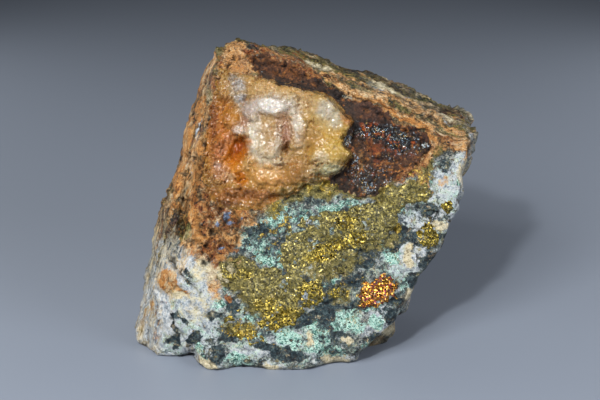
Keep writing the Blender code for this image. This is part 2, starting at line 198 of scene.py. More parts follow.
def packed_blocks(points: Array, packings: tuple[Packing, ...]) -> Array:
    """Adds up the heights of several packings of blocks, from large to small.

    Args:
        points: places in mm.
        packings: the share of its height that counts, the mean width in mm, the seed, and for some the
            lean of each.

    Returns:
        Heights in mm.
    """
    return sum(share * mosaic(points, *settings) for share, *settings in packings)


def terraces(height: Array, step: float) -> Array:
    """Turns a smooth height into ledges with steep edges.

    Args:
        height: the smooth heights in mm.
        step: how high each ledge is, in mm.

    Returns:
        The stepped heights in mm.
    """
    level = height / step
    whole = np.floor(level)
    return (whole + smooth(0.7, 1.0, level - whole)) * step


def joined_tops(one: Array, two: Array, reach: float) -> Array:
    """Takes the higher of two surfaces, and fills the crease between them over reach mm of height."""
    near = np.maximum(1.0 - np.abs(one - two) / reach, 0.0)
    return np.maximum(one, two) + 0.25 * reach * near * near


def where_shown(share: Array, points: Array, relief: Callable[[Array], Array]) -> Array:
    """Works out a relief only where its share is above 0, and scales it by the share.

    Args:
        share: how strongly the relief shows at each place, from 0 to 1.
        points: places in mm.
        relief: gives heights in mm for places.

    Returns:
        The scaled heights in mm.
    """
    heights = np.zeros(len(points))
    shown = share > 0.01
    heights[shown] = relief(points[shown]) * share[shown]
    return heights


# ---- the front face and what lies on it --------------------------------------------------------------


@dataclass(frozen=True)
class FrontFace:
    """The broken front face and its coordinates in mm: across, up the slope, and out of the rock."""

    lean_deg: float = 20.0
    foot_mm: tuple[float, float, float] = (-1.19, -25.13, 0.0)

    def axes(self) -> Array:
        """Gives its three directions as the rows of a matrix."""
        lean = math.radians(self.lean_deg)
        up = (0.0, math.sin(lean), math.cos(lean))
        out = (0.0, -math.cos(lean), math.sin(lean))
        return np.array([(1.0, 0.0, 0.0), up, out])

    def to_face(self, points: Array) -> Array:
        """Turns places in the specimen's frame into places on the face, both in mm."""
        return (points - np.array(self.foot_mm)) @ self.axes().T

    def to_world(self, places: Array) -> Array:
        """Turns places on the face into places in the specimen's frame, both in mm."""
        return places @ self.axes() + np.array(self.foot_mm)


FACE = FrontFace()


class Zone(Enum):
    """What colours the host rock, from the lowest layer to the top one."""

    RIND = "weathered_rind"
    PALE = "pale_quartz_rock"
    GREEN = "copper_carbonate"
    DARK = "chalcocite"
    OLIVE = "fine_ore"
    TAN = "limonite"
    RUST = "iron_rust"
    OCHRE = "orange_ochre"
    CLAY = "pale_clay"
    SPECKS = "ore_specks"
    BLUE = "blue_tarnish"


# how much of each lies everywhere on the lower face, the upper face, the rind on top and at the left, and
# broken sides, and what the left side's foot adds
ZONE_LEVELS: dict[Zone, tuple[float, ...]] = {
    Zone.RIND: (0.0, 0.85, 1.0, 1.0, 0.12, -0.65),
    Zone.PALE: (0.42, 0.08, 0.27, 0.0, 0.38, 0.42),
    Zone.GREEN: (0.30, 0.0, 0.0, 0.0, 0.12, 0.0),
    Zone.DARK: (0.48, 0.28, 0.58, 0.28, 0.42, -0.14),
    Zone.OLIVE: (0.16, 0.24, 0.54, 0.46, 0.26, -0.24),
    Zone.TAN: (0.0, 0.20, 0.18, 0.34, 0.26, -0.16),
    Zone.RUST: (0.0, 0.40, 0.26, 0.40, 0.24, -0.24),
    Zone.OCHRE: (0.0, 0.34, 0.12, 0.46, 0.16, -0.3),
    Zone.CLAY: (0.0, 0.06, 0.16, 0.16, 0.3, 0.14),
}
# how strongly what is drawn from the lists shows: for most of them, and for those that differ
ZONE_STRENGTH = 1.3
ZONE_STRENGTHS: dict[Zone, float] = {
    Zone.TAN: 1.1, Zone.RUST: 0.9, Zone.SPECKS: 1.0, Zone.DARK: 1.5, Zone.OCHRE: 1.2,
}
# Patches on the front face: across, up, half their width and height in mm, turn in degrees, strength
ZONE_PATCHES: dict[Zone, tuple[Patch, ...]] = {
    Zone.PALE: (
        (-32, 13, 11, 14, -12, 0.95), (-27.5, 24, 5, 6, -25, 0.9), (38.5, 46, 5.5, 8.5, -20, 0.85),
        (34, 38.5, 7, 4, 10, 0.75), (27.5, 29, 4.5, 6, -25, 0.85), (29, 39, 4.5, 2.6, 0, 0.9),
        (21.5, 30, 3.6, 1.4, -10, 0.9), (22.5, 36.5, 0.9, 2.4, 35, 0.9), (20.5, 15, 3, 2, 0, 0.8),
        (-12.5, 4.4, 6, 2.4, 5, 0.85), (-4.4, 8.2, 4.4, 2.2, -6, 0.8), (13, 3.4, 3, 1.4, -8, 0.7),
        (20.6, 11, 3.6, 2.6, 0, 0.6), (-2.5, 7, 3.6, 2.4, 0, 0.7), (4, 5.6, 2.2, 4, 0, 0.7),
        (10.4, 25.2, 1.4, 2.6, 15, 0.9), (2.5, 25.6, 1.6, 1.8, 0, 0.9), (-7.4, 35, 4, 4.4, 0, 0.34),
        (-8, 2, 4, 1.2, -10, 0.7), (41.5, 53.5, 2.4, 3.6, 10, 0.9), (-24, 8, 2.2, 4, 30, 0.8),
    ),
    Zone.GREEN: (
        (7, 41.6, 2.9, 1.6, 5, 1), (12.4, 42.9, 3, 1, 8, 0.8), (0.5, 39.6, 3, 1.3, 20, 0.9),
        (-3.8, 40.8, 1.4, 2.2, 0, 0.9), (-7, 37.8, 3.6, 2.6, 20, 0.75), (-9, 29.6, 2.8, 3, -20, 0.75),
        (-12, 33.6, 4.4, 3.4, 0, 0.5), (-5.4, 28.6, 1.6, 3.2, 0, 0.8), (26, 42, 1, 1.8, 0, 0.9),
        (23.8, 29.8, 2.4, 2.4, 40, 0.9), (21.4, 32.2, 1.4, 0.8, 0, 0.8), (7.8, 22.4, 2.8, 0.7, 22, 1),
        (19.4, 12.8, 2.2, 1.9, 0, 0.85), (15.4, 11.6, 1.8, 1.2, 20, 0.7), (16.6, 16.4, 4, 0.9, 5, 0.8),
        (6.4, 11.4, 4.6, 2.4, 0, 0.7), (12.2, 12.6, 4, 3.4, 0, 0.6), (4.4, 7, 3.2, 2.8, 0, 0.75),
        (-3.2, 8.4, 4, 2.2, -15, 0.85), (-1.6, 7.4, 1.8, 1.8, 0, 1), (-12.4, 9.4, 2.8, 1.1, -8, 0.9),
        (-12.6, 13.6, 2.2, 1.2, 10, 0.7), (-15.8, 3, 3.4, 1.6, -10, 1), (-26.4, 6.2, 1.2, 2, 20, 0.8),
        (-24.6, 2.4, 0.8, 1.8, 10, 0.8), (8.2, 5.2, 4, 1.6, 0, 0.7), (18, 6.6, 2, 1, 20, 0.85),
        (40.6, 48.4, 0.9, 1.2, 0, 0.8), (33, 47, 1, 2.4, 0, 0.5), (-21, 17, 1.4, 1.8, 0, 0.6),
        (-3, 15.6, 1.2, 0.6, 40, 0.8), (26.6, 22, 1.4, 2.6, -35, 0.6),
    ),
    Zone.DARK: (
        (23.6, 32.4, 1.9, 1.6, 0, 1), (25.8, 34.8, 2.4, 2.2, 30, 0.95), (29.2, 34, 1.8, 2, 0, 0.85),
        (22, 36.4, 0.8, 1.1, 0, 1), (33, 41, 2.4, 1.4, 20, 0.75), (36.2, 34.6, 1.2, 0.7, 20, 0.9),
        (32.6, 28, 2, 3.4, -35, 0.55), (29.2, 23.2, 1.8, 1.6, -20, 0.85),
        (16.4, 27.8, 3.4, 1.8, 10, 0.85), (13.4, 23.2, 2.4, 2.2, 0, 0.85), (1, 22.8, 2, 2.2, 0, 0.65),
        (7.4, 16.6, 2.8, 2.6, 0, 0.9), (14, 16.8, 4.4, 1.4, 5, 0.8), (1.4, 13.4, 3.6, 2, 15, 0.9),
        (6.6, 13.6, 2.2, 1.6, 0, 0.7), (24.4, 18.2, 2.4, 1.2, 20, 0.8), (23.4, 13.4, 1.5, 2.2, 10, 0.9),
        (-4, 4.2, 3.6, 1.8, -10, 0.85), (0, 3.6, 1.6, 2, 0, 0.7), (-8.6, 6.4, 3, 1, -10, 0.8),
        (-21.4, 4.4, 2, 2.4, 20, 0.85), (-18.6, 8.4, 3, 1.4, 0, 0.6), (-31.6, 14.2, 1.3, 0.9, 10, 1),
        (-29.6, 13.1, 1, 1.2, 0, 1), (-32.6, 10.8, 0.6, 2, 8, 0.9), (-32.2, 7.2, 1.4, 2.2, 0, 0.6),
        (-27.2, 8.2, 2.4, 1.2, 25, 0.8), (-22.2, 14.2, 2, 1, -10, 0.75), (-17.6, 16.8, 1.8, 2, 0, 0.85),
        (-17.4, 21.2, 2.6, 1, 0, 0.6), (18.4, 8.6, 2.4, 1.1, 20, 0.75), (10.2, 9.4, 2.4, 1, -20, 0.6),
        (5.8, 3.2, 2.4, 1, 0, 0.55), (-4.6, 33.2, 0.9, 2.4, -10, 0.9), (0, 36.9, 1.4, 0.5, 10, 0.7),
        (-12.6, 35.6, 1.6, 1, 0, 0.6), (-13.4, 0.6, 5, 0.8, 5, 0.8), (37, 52.6, 2, 2.2, 0, 0.45),
        (-8, 34, 5, 6, 0, 0.42), (-9.6, 36, 1.8, 1.4, 20, 0.6), (-6.2, 32.4, 1, 2.4, -10, 0.6),
        (-10, 21, 6, 4, 0, 0.5), (2, 5.4, 22, 4.6, 0, 0.26), (7, 46.6, 5.6, 1.8, 0, 0.55),
        # the dark patches at (4.4, 50), (-22.4, 35.3), (-23.8, 28.3), (-30.6, 38), (-29.1, 44), (-27, 54.2)
        # and (-24.4, 27.6) are painted shade in pits and holes
        (4.4, 50, 1, 1.4, 0, 0.9), (-19.2, 39.8, 1.3, 1.1, 30, 0.75), (-16.6, 41.8, 0.8, 0.7, 0, 0.7),
        (-22.8, 43.6, 0.9, 0.7, 0, 0.6), (-21.6, 38.4, 1.1, 0.8, 0, 0.8), (-22.4, 35.3, 1, 0.8, 0, 0.9),
        (-23.8, 28.3, 1.1, 0.5, 20, 0.9), (-30.6, 38, 0.6, 3.2, 8, 0.7), (-29.1, 44, 1.1, 0.9, 0, 0.9),
        (-27, 54.2, 0.7, 1.1, 0, 0.9), (-18.6, 40.6, 1, 1.4, 20, 0.7), (-20.8, 34.6, 1.4, 0.6, 20, 0.7),
        (-14.4, 40, 1, 0.6, 0, 0.6), (18, 31, 6, 3, 10, 0.5), (-24.4, 27.6, 1, 0.7, 30, 0.9),
        (-28.4, 24.2, 1, 2.6, 35, 0.45), (-30.6, 21.5, 0.7, 3, 40, 0.35),
    ),
    Zone.OLIVE: (
        (6, 47.6, 7, 3, 0, 0.95), (31.4, 53.4, 2.8, 3.2, 0, 0.8), (-7.4, 42.8, 3, 2.6, 0, 0.9),
        (-1.4, 44.4, 3.4, 1.8, 0, 0.55), (14, 46, 4, 2, 0, 0.7), (22, 45.6, 4.6, 2.6, 0, 0.9),
        (29, 46, 5, 2.6, 0, 0.9), (34.6, 56.4, 2.4, 1.4, 0, 0.6), (-29.6, 36.2, 1.3, 3.6, 5, 0.95),
        (-16.6, 25, 4.4, 4.4, 0, 0.9), (-10, 20, 5, 6, 0, 0.8), (8, 28, 8, 5, 10, 0.6),
        (10, 19.6, 4, 2.4, 0, 0.5), (20, 34, 6, 4, 10, 0.5), (-15, 11, 5, 2, 0, 0.6),
    ),
    Zone.TAN: (
        (-16.6, 81.4, 3.4, 3.6, 10, 1), (-18.6, 76.8, 2, 3.4, 20, 0.95), (-13.6, 77.6, 4, 2.2, -10, 0.9),
        (-33.6, 23, 2.6, 3, 0, 0.95), (-30.2, 20.4, 2.2, 1.2, -20, 0.8),
        (-38.7, 16.2, 0.8, 1.4, -10, 0.8), (-28, 32.6, 2.6, 1.6, 0, 0.7), (-19, 34.4, 4, 2, -10, 0.8),
        (-22.4, 22.4, 2, 4.6, 15, 0.6), (-15.4, 42.9, 3, 1.5, 0, 0.9), (-23.8, 44.6, 1.8, 2.4, 0, 0.8),
        (-23.8, 36.6, 1.1, 1.9, 15, 1.2), (-22, 33.4, 2.4, 0.8, -10, 0.9),
        (-18, 33.2, 2.6, 0.8, -10, 0.9), (-28.2, 32.4, 1.4, 1.2, 0, 0.9),
        (-13, 38.2, 2.6, 0.9, -20, 0.8), (-26, 30, 2, 2, 0, 0.6), (-24, 36.4, 1.2, 2.4, 0, 0.9),
        (-13.4, 38, 3, 1, 0, 0.6), (-17, 28.4, 3, 1, 0, 0.5), (32.4, 46.4, 1.4, 2.2, 20, 1),
        (43.4, 55, 0.9, 2.2, 0, 0.8), (36.6, 48.4, 1.2, 1.6, 0, 0.5), (40.8, 58.4, 4.4, 1.4, -12, 0.9),
        (-9, 38.9, 1, 0.8, 0, 0.4), (20.6, 48.6, 1.2, 3, -20, 0.4),
    ),
    Zone.RUST: (
        (-20.4, 40.4, 3.6, 3.6, 0, 1.2), (-22.3, 30.4, 2.4, 1.9, 0, 1.2),
        (-16.4, 38.4, 2.4, 1.6, -20, 1.1), (-21.6, 27.2, 1.6, 1.2, 0, 0.9),
        (-12.6, 43.4, 6, 2.6, -6, 0.8), (-25.6, 36.4, 1.3, 4.6, 12, 1), (-19.8, 31.3, 3.2, 1.6, 0, 1),
        (-15.4, 40.8, 3.4, 2, 0, 0.95), (-25.6, 38.6, 2.4, 6, 10, 0.95),
        (-22.4, 31.4, 3.6, 2.8, 20, 0.95), (-18.6, 37.4, 3, 2, 0, 0.8), (-27.4, 30.6, 2, 1.2, 0, 0.7),
        (-22.4, 26.4, 1.6, 1.2, 20, 0.8), (-18.4, 18.4, 1.2, 1, 0, 0.9), (-21.6, 72.4, 1.6, 4, 8, 0.9),
        (-20.6, 78.6, 0.8, 2.4, -20, 0.7), (26.6, 51.8, 7, 3.4, 8, 0.8), (13.6, 47.6, 3.2, 2, 0, 0.75),
        (11.6, 52.4, 3.4, 1.6, 25, 0.8), (20.4, 49.4, 2.6, 2.6, 0, 0.7), (37.6, 59.6, 3.4, 2, -15, 0.6),
        (30.6, 49.2, 2.4, 2, 0, 0.5), (-12.6, 82.2, 2.6, 0.9, -8, 0.8), (-27, 56, 1.2, 0.8, 0, 0.9),
        (-24.4, 44, 2, 2.6, 0, 0.7),
    ),
    Zone.OCHRE: (
        (-26.6, 37.8, 1.5, 4.6, 6, 1), (-24.6, 34, 1.4, 1.4, 0, 0.9), (-20.4, 43.4, 2.6, 1.1, -14, 0.7),
        (-13.6, 44.6, 5.4, 1.1, -4, 0.8), (-16.2, 40.7, 2.6, 1, -10, 0.8),
        (-12, 41.6, 2.4, 0.8, -10, 0.6), (-17.6, 34, 2.6, 0.8, -15, 0.7),
        (-20.6, 29.2, 1.8, 0.8, -15, 0.6), (-33.6, 23, 2.5, 2.9, 0, 1),
        (-30.4, 20.6, 1.8, 0.9, -20, 0.6), (-38.7, 16.2, 0.8, 1.5, -10, 0.9),
        (-29.4, 60, 1.4, 6, -8, 0.7), (-31.2, 50, 1.6, 6, -8, 0.8), (-33, 42, 0.9, 3.6, -8, 0.6),
        (-26, 67, 1.2, 5, -8, 0.7), (-22.2, 70, 0.9, 5, -8, 0.5), (-16.6, 79, 1.6, 1.2, 0, 0.5),
    ),
    Zone.CLAY: (
        (-23.6, 1.4, 2.2, 1.4, -20, 0.8), (9.8, 2.6, 4.2, 1, -8, 0.7), (12.4, 7.6, 1.6, 0.8, -20, 0.65),
        (2.8, 7.6, 0.9, 1.6, 0, 0.6), (23, 9.6, 1.8, 1.6, 20, 0.9), (-7.6, 1, 2, 0.8, -20, 0.7),
        (28.2, 29.4, 1.1, 2.8, 0, 0.85), (28, 20, 1.8, 1.4, 40, 0.65), (35.4, 37.4, 3, 1, 0, 0.5),
        (-24.6, 26, 3, 3.6, 20, 0.5), (-26.6, 16.4, 4, 5, 30, 0.34), (-19, 25.4, 2, 3, 0, 0.5),
        (-31, 19.8, 2.4, 1, -20, 0.7), (41.8, 50, 1.4, 3, 0, 0.6), (43.6, 52, 1.2, 3, 0, 0.9),
        (5, 79.2, 3, 0.9, -22, 0.8), (22, 73.4, 4, 0.8, -24, 0.8), (38, 65.6, 3, 0.8, -30, 0.7),
    ),
    Zone.BLUE: (
        (-19, 39.6, 1, 1.4, 30, 0.62), (-17.6, 38.4, 1.2, 0.6, 0, 0.6), (-20.8, 31.4, 0.8, 0.4, 30, 0.8),
        (-21.4, 37.4, 0.6, 0.9, 0, 0.55), (-15, 39.6, 0.6, 0.5, 0, 0.55),
    ),
    Zone.SPECKS: (
        (6, 48, 6, 2.6, 0, 0.5), (-7.4, 42.8, 3.6, 2.6, 0, 0.4), (22, 45.6, 5, 2.4, 0, 0.45),
        (30.6, 50, 4, 3.6, 0, 0.4), (-15, 10.6, 5.6, 2.6, 0, 0.45), (24.6, 36.6, 1.6, 2.4, 20, 0.5),
        (14, 20.6, 5, 3, 0, 0.35), (33.4, 36, 3, 3, 0, 0.35), (-6, 36, 7, 6, 0, 0.28),
    ),
}
# What keeps the dark sulphide out, so that the pale rock stays clean there
CLEAN_PALE: tuple[Patch, ...] = (
    (-31, 17, 9, 12, -12, 0.95), (-14, 5.4, 5, 2, 0, 0.6), (-3, 8, 5, 2.4, 0, 0.6),
    (25.6, 28.6, 4, 3.4, 30, 0.7), (19, 12, 4, 3, 0, 0.6), (38.5, 49, 4, 6, -20, 0.6),
)
# Bands along a line on the face: half its width in mm, strength, then the points
ZONE_BANDS: dict[Zone, tuple[Line, ...]] = {
    Zone.TAN: (
        (1.1, 0.8, ((14, 71), (20, 70.4), (23.8, 67.2), (28.6, 64.8), (32.8, 63), (34.6, 60))),
        (0.9, 1, ((34.6, 60), (34.4, 57), (31, 54))), (1, 0.9, ((2, 79), (7, 75.4), (11, 73), (14, 71))),
        (0.8, 0.7, ((8, 77.4), (18, 73), (28, 68.4), (42, 60.6))),
        (0.7, 0.6, ((22, 73), (32, 68), (40, 64))),
    ),
    Zone.OCHRE: (
        (0.6, 1, ((14, 70.2), (20, 69.6), (23.8, 66.4), (28.6, 64), (32.8, 62.2), (34.2, 59.4))),
        (0.7, 0.8, ((-25.2, 57), (-25.6, 54), (-26.8, 48), (-27.6, 43))),
    ),
    Zone.RUST: (
        (1.2, 0.9, ((-9, 82), (-3, 80.6), (2, 77.6), (5, 75.4))), (1, 0.7, ((4, 78.4), (7.6, 76.6))),
        (1.2, 0.9, ((-20, 47.2), (-12, 45.6), (-5, 46))), (0.8, 0.6, ((36, 66.4), (39, 64.6))),
    ),
    Zone.PALE: (
        (0.7, 0.9, ((2, 80.4), (5.4, 76), (10.6, 75.2))),
        (0.8, 0.8, ((18, 74), (26, 71.4), (36, 66), (43.4, 61))), (0.5, 0.7, ((-26, 66), (-27, 57))),
        (0.6, 0.7, ((-36, 34), (-38, 26))),
    ),
    Zone.DARK: (
        # this dark band is a painted shadow along the rim of the goethite hollow
        (0.35, 0.9, ((5.6, 74.8), (9.4, 73.6), (13, 70.6))),
        (0.3, 0.7, ((13.4, 75.6), (10.6, 75.6), (7.4, 74.6))), (0.4, 0.6, ((31, 65.6), (35.4, 64.6))),
    ),
    Zone.OLIVE: (
        (1.2, 0.7, ((-4, 82.6), (2, 81.6), (10, 78))), (1.4, 0.5, ((34, 65.4), (42, 61))),
    ),
}


def warped(points: Array, reach: float, size: float, seed: int) -> Array:
    """Shifts each place sideways by noise, so that what is drawn with them gets a natural edge.

    Args:
        points: places in mm.
        reach: how far it shifts them, in mm.
        size: the noise's size in mm.
        seed: picks another pattern.

    Returns:
        The shifted places in mm.
    """
    shift = np.stack([fractal(points, size, seed + 31 * axis, 2) for axis in range(points.shape[1])], -1)
    return points + shift * reach


def patch_reach(places: Array, patch: Patch) -> Array:
    """Measures how far out each place is from a patch's middle.

    Args:
        places: places on the face in mm.
        patch: across, up, half width, half height and turn in degrees, and what else it holds.

    Returns:
        0 in its middle and 1 on its edge.
    """
    across, up, half_width, half_height, turn = patch[:5]
    angle = math.radians(turn)
    aside = places[:, 0] - across
    above = places[:, 1] - up
    along = (aside * math.cos(angle) + above * math.sin(angle)) / half_width
    over = (above * math.cos(angle) - aside * math.sin(angle)) / half_height
    return np.sqrt(along * along + over * over)


def patch_cover(places: Array, patches: tuple[Patch, ...], edge: float = 0.5) -> Array:
    """Says how strongly a set of patches covers each place on the face.

    Args:
        places: places on the face in mm.
        patches: across, up, half width, half height, turn in degrees and strength of each.
        edge: how soft their edges are, as a share of their size.

    Returns:
        The strongest cover at each place, from 0 to 1.
    """
    cover = np.zeros(len(places))
    for patch in patches:
        cover = np.maximum(cover, patch[5] * smooth(1.0 + edge, 1.0 - edge, patch_reach(places, patch)))
    return cover


def painted(places: Array, ground: str, stains: tuple[Stain, ...], edge: float = 0.4) -> Array:
    """Paints stains over a ground colour, each over the last.

    Args:
        places: places on the face in mm.
        ground: the ground's hex colour.
        stains: across, up, half width, half height, turn in degrees, strength and hex colour of each.
        edge: how soft their edges are, as a share of their size.

    Returns:
        A linear colour for each place.
    """
    colours = np.tile(np.array(linear(ground)), (len(places), 1))
    for stain in stains:
        share = stain[5] * smooth(1.0 + edge, 1.0 - edge, patch_reach(places, stain))
        colours = tinted(colours, share, stain[6])
    return colours


def tinted(colours: Array, share: Array, code: str) -> Array:
    """Brings linear colours towards a hex colour, each by its share from 0 to 1."""
    return colours + share[:, None] * (np.array(linear(code)) - colours)


def line_distance(places: Array, line: tuple[Spot, ...]) -> Array:
    """Measures how far each place on the face is from a line.

    Args:
        places: places on the face in mm.
        line: the line's points in mm.

    Returns:
        The distances in mm.
    """
    nearest = np.full(len(places), math.inf)
    for start, end in zip(line, line[1:]):
        along = np.array(end) - np.array(start)
        away = places[:, :2] - np.array(start)
        share = np.clip((away @ along) / (along @ along), 0.0, 1.0)
        nearest = np.minimum(nearest, np.linalg.norm(away - share[:, None] * along, axis=1))
    return nearest


def inside_distance(places: Array, outline: tuple[Spot, ...]) -> Array:
    """Measures how far each place on the face is inside a closed outline.

    Args:
        places: places on the face in mm.
        outline: the outline's corners in mm.

    Returns:
        The distance to the outline in mm, above 0 inside it and below 0 outside.
    """
    inside = np.zeros(len(places), bool)
    closed = outline + outline[:1]
    for (x0, y0), (x1, y1) in zip(closed, closed[1:]):
        spans = (y0 > places[:, 1]) != (y1 > places[:, 1])
        if y0 != y1:
            crossing = x0 + (places[:, 1] - y0) * (x1 - x0) / (y1 - y0)
            inside ^= spans & (places[:, 0] < crossing)
    return np.where(inside, 1.0, -1.0) * line_distance(places, closed)


# ---- meshes and materials ----------------------------------------------------------------------------

MID_COLOUR = (0.5, 0.5, 0.5)
# how much finer noise lies on the noise of stains and of specks
CLOUDS = {"Detail": 6.0, "Roughness": 0.72}
SPECKS = {"Detail": 3.0, "Roughness": 0.7}


def linear(code: str) -> tuple[float, float, float, float]:
    """Turns an sRGB colour into a linear one.

    Args:
        code: the colour's hex code.

    Returns:
        Linear red, green and blue, and 1.
    """
    parts = [int(code[i : i + 2], 16) / 255.0 for i in (1, 3, 5)]
    red, green, blue = (c / 12.92 if c <= 0.04045 else ((c + 0.055) / 1.055) ** 2.4 for c in parts)
    return red, green, blue, 1.0


def new_object(name: str, data: bpy.types.ID) -> Piece:
    """Puts a new object that shows a mesh, light or camera into the scene.

    Args:
        name: its name.
        data: what it shows.

    Returns:
        The object.
    """
    made = bpy.data.objects.new(name, data)
    bpy.context.scene.collection.objects.link(made)
    return made


def new_mesh(name: str, points: Array, faces: Array) -> Mesh:
    """Makes a mesh.

    Args:
        name: its name.
        points: its vertices' places in mm.
        faces: the vertex numbers of each face.

    Returns:
        The mesh.
    """
    mesh = bpy.data.meshes.new(name)
    mesh.from_pydata((points * MM).tolist(), [], faces.tolist() if isinstance(faces, np.ndarray) else faces)
    mesh.update()
    return mesh


def read_numbers(items: bpy.types.bpy_prop_collection, name: str, width: int, kind: type) -> Array:
    """Reads the same numbers from everything in one of a mesh's lists.

    Args:
        items: the list, such as the mesh's vertices.
        name: what the numbers are called.
        width: how many each item has.
        kind: their type in Blender.

    Returns:
        One row for each item.
    """
    flat = np.empty(len(items) * width, kind)
    items.foreach_get(name, flat)
    return flat.reshape(-1, width)


def read_points(mesh: Mesh) -> Array:
    """Gives the places of a mesh's vertices in mm."""
    return read_numbers(mesh.vertices, "co", 3, np.float32).astype(float) / MM


def write_points(mesh: Mesh, points: Array) -> None:
    """Moves a mesh's vertices to places in mm."""
    mesh.vertices.foreach_set("co", (points * MM).astype(np.float32).ravel())
    mesh.update()


def read_normals(mesh: Mesh) -> Array:
    """Gives the normals of a mesh's vertices."""
    return read_numbers(mesh.vertex_normals, "vector", 3, np.float32).astype(float)


def read_edges(mesh: Mesh) -> Array:
    """Gives a mesh's edges as pairs of vertex numbers."""
    return read_numbers(mesh.edges, "vertices", 2, np.int32)


def relaxed(points: Array, edges: Array, rounds: int) -> Array:
    """Smooths places by moving each halfway to the middle of its neighbours.

    Args:
        points: the places.
        edges: which of them are neighbours.
        rounds: how many times.

    Returns:
        The smoothed places.
    """
    counts = np.bincount(edges.ravel(), minlength=len(points))[:, None]
    for _ in range(rounds):
        total = np.zeros_like(points)
        for axis in range(3):
            total[:, axis] += np.bincount(edges[:, 0], points[edges[:, 1], axis], len(points))
            total[:, axis] += np.bincount(edges[:, 1], points[edges[:, 0], axis], len(points))
        points = 0.5 * points + 0.5 * total / np.maximum(counts, 1)
    return points


def relaxed_values(values: Array, edges: Array, rounds: int) -> Array:
    """Smooths one number for each vertex over its neighbours, a number of times."""
    return relaxed(np.column_stack([values, values * 0.0, values * 0.0]), edges, rounds)[:, 0]


def square_edges(squares: Array) -> Array:
    """Gives the sides of square faces as pairs of vertex numbers, each face's in its own direction."""
    return np.concatenate([squares[:, [i, (i + 1) % 4]] for i in range(4)])


def lowest_around(values: Array, edges: Array, rounds: int) -> Array:
    """Gives each vertex the least value that is close to it.

    Args:
        values: one for each vertex.
        edges: the mesh's edges.
        rounds: how many edges away it looks.

    Returns:
        The least values.
    """
    for _ in range(rounds):
        least = values.copy()
        np.minimum.at(least, edges[:, 0], values[edges[:, 1]])
        np.minimum.at(least, edges[:, 1], values[edges[:, 0]])
        values = least
    return values


def add_layer(mesh: Mesh, name: str, values: Array) -> None:
    """Stores numbers, vectors or linear colours under a name that a material can read.

    Args:
        mesh: the mesh that carries them.
        name: their name.
        values: one, three or four numbers for each vertex. A crust has two layers of vertices, and the
            second gets the same ones again.
    """
    width = values.size // len(values)
    kind, field = {1: ("FLOAT", "value"), 3: ("FLOAT_VECTOR", "vector"), 4: ("FLOAT_COLOR", "color")}[width]
    layer = mesh.attributes.new(name, kind, "POINT")
    filled = np.resize(values, len(mesh.vertices) * width)
    layer.data.foreach_set(field, filled.astype(np.float32))


def set_inputs(tree: NodeTree, node: bpy.types.Node, inputs: dict) -> None:
    """Sets a node's sockets.

    Args:
        tree: the node tree it is in.
        node: the node.
        inputs: a socket's name or number, with its value or the socket that feeds it.
    """
    for key, value in inputs.items():
        if isinstance(value, Socket):
            tree.links.new(value, node.inputs[key])
        else:
            node.inputs[key].default_value = value


def add_node(
    tree: NodeTree,
    kind: str,
    inputs: dict | None = None,
    stops: tuple[tuple[float, str], ...] = (),
    **settings: object,
) -> bpy.types.Node:
    """Adds a node with its settings and links.

    Args:
        tree: the node tree it goes into.
        kind: the node's type, without the word that all shader nodes begin with.
        inputs: a socket's name or number, with its value or the socket that feeds it.
        stops: for a colour ramp, the place and hex colour of each stop.
        settings: the node's own settings.

    Returns:
        The node.
    """
    made = tree.nodes.new("ShaderNode" + kind)
    for key, value in settings.items():
        setattr(made, key, value)
    set_inputs(tree, made, inputs or {})
    if stops:
        elements = made.color_ramp.elements
        while len(elements) < len(stops):
            elements.new(0.5)
        for element, (place, code) in zip(elements, stops):
            element.position = place
            element.color = linear(code)
    return made


def new_material(name: str) -> tuple[Material, NodeTree, bpy.types.Node]:
    """Makes a material.

    Args:
        name: its name.

    Returns:
        The material, its node tree and its shader.
    """
    made = bpy.data.materials.new(name)
    made.use_nodes = True
    return made, made.node_tree, made.node_tree.nodes["Principled BSDF"]


def place_in_mm(tree: NodeTree) -> Socket:
    """Gives the place on the piece in mm, so that a pattern's scale is one over a real size."""
    place = {0: add_node(tree, "TexCoord").outputs["Object"], "Scale": 1 / MM}
    return add_node(tree, "VectorMath", place, operation="SCALE").outputs[0]


def spread(value: Socket, low: float, high: float, first: float = 0.0, last: float = 1.0) -> dict:
    """Gives the inputs of a node that stretches what lies from low to high, to lie from first to last."""
    return {"Value": value, "From Min": low, "From Max": high, "To Min": first, "To Max": last}


def tiny_faces(tree: NodeTree, place: Socket, size: float) -> Socket:
    """Makes the height of a surface of tiny flat faces that each lean their own way, for a bump.

    Args:
        tree: the node tree it goes into.
        place: the place in mm.
        size: the faces' mean width in mm.

    Returns:
        The height in mm.
    """
    grain = add_node(tree, "TexVoronoi", {"Vector": place, "Scale": 1 / size}).outputs
    away = {0: place, 1: grain["Position"]}
    away = add_node(tree, "VectorMath", away, operation="SUBTRACT").outputs[0]
    lean = {0: grain["Color"], 1: MID_COLOUR}
    lean = add_node(tree, "VectorMath", lean, operation="SUBTRACT").outputs[0]
    height = add_node(tree, "VectorMath", {0: away, 1: lean}, operation="DOT_PRODUCT")
    return height.outputs["Value"]


def even_stops(codes: tuple[str, ...]) -> tuple[tuple[float, str], ...]:
    """Spreads colours evenly along a ramp, short of its ends, which noise seldom reaches."""
    first, reach = 0.12, 0.76
    return tuple((first + reach * i / (len(codes) - 1), code) for i, code in enumerate(codes))


@dataclass(frozen=True)
class Layer:
    """One mineral or stain of the host rock's surface and how it looks."""

    zone: Zone
    colours: tuple[str, ...]
    roughness: float
    metallic: float = 0.0
    softness: float = 0.16  # how gently it gives way to what lies under it


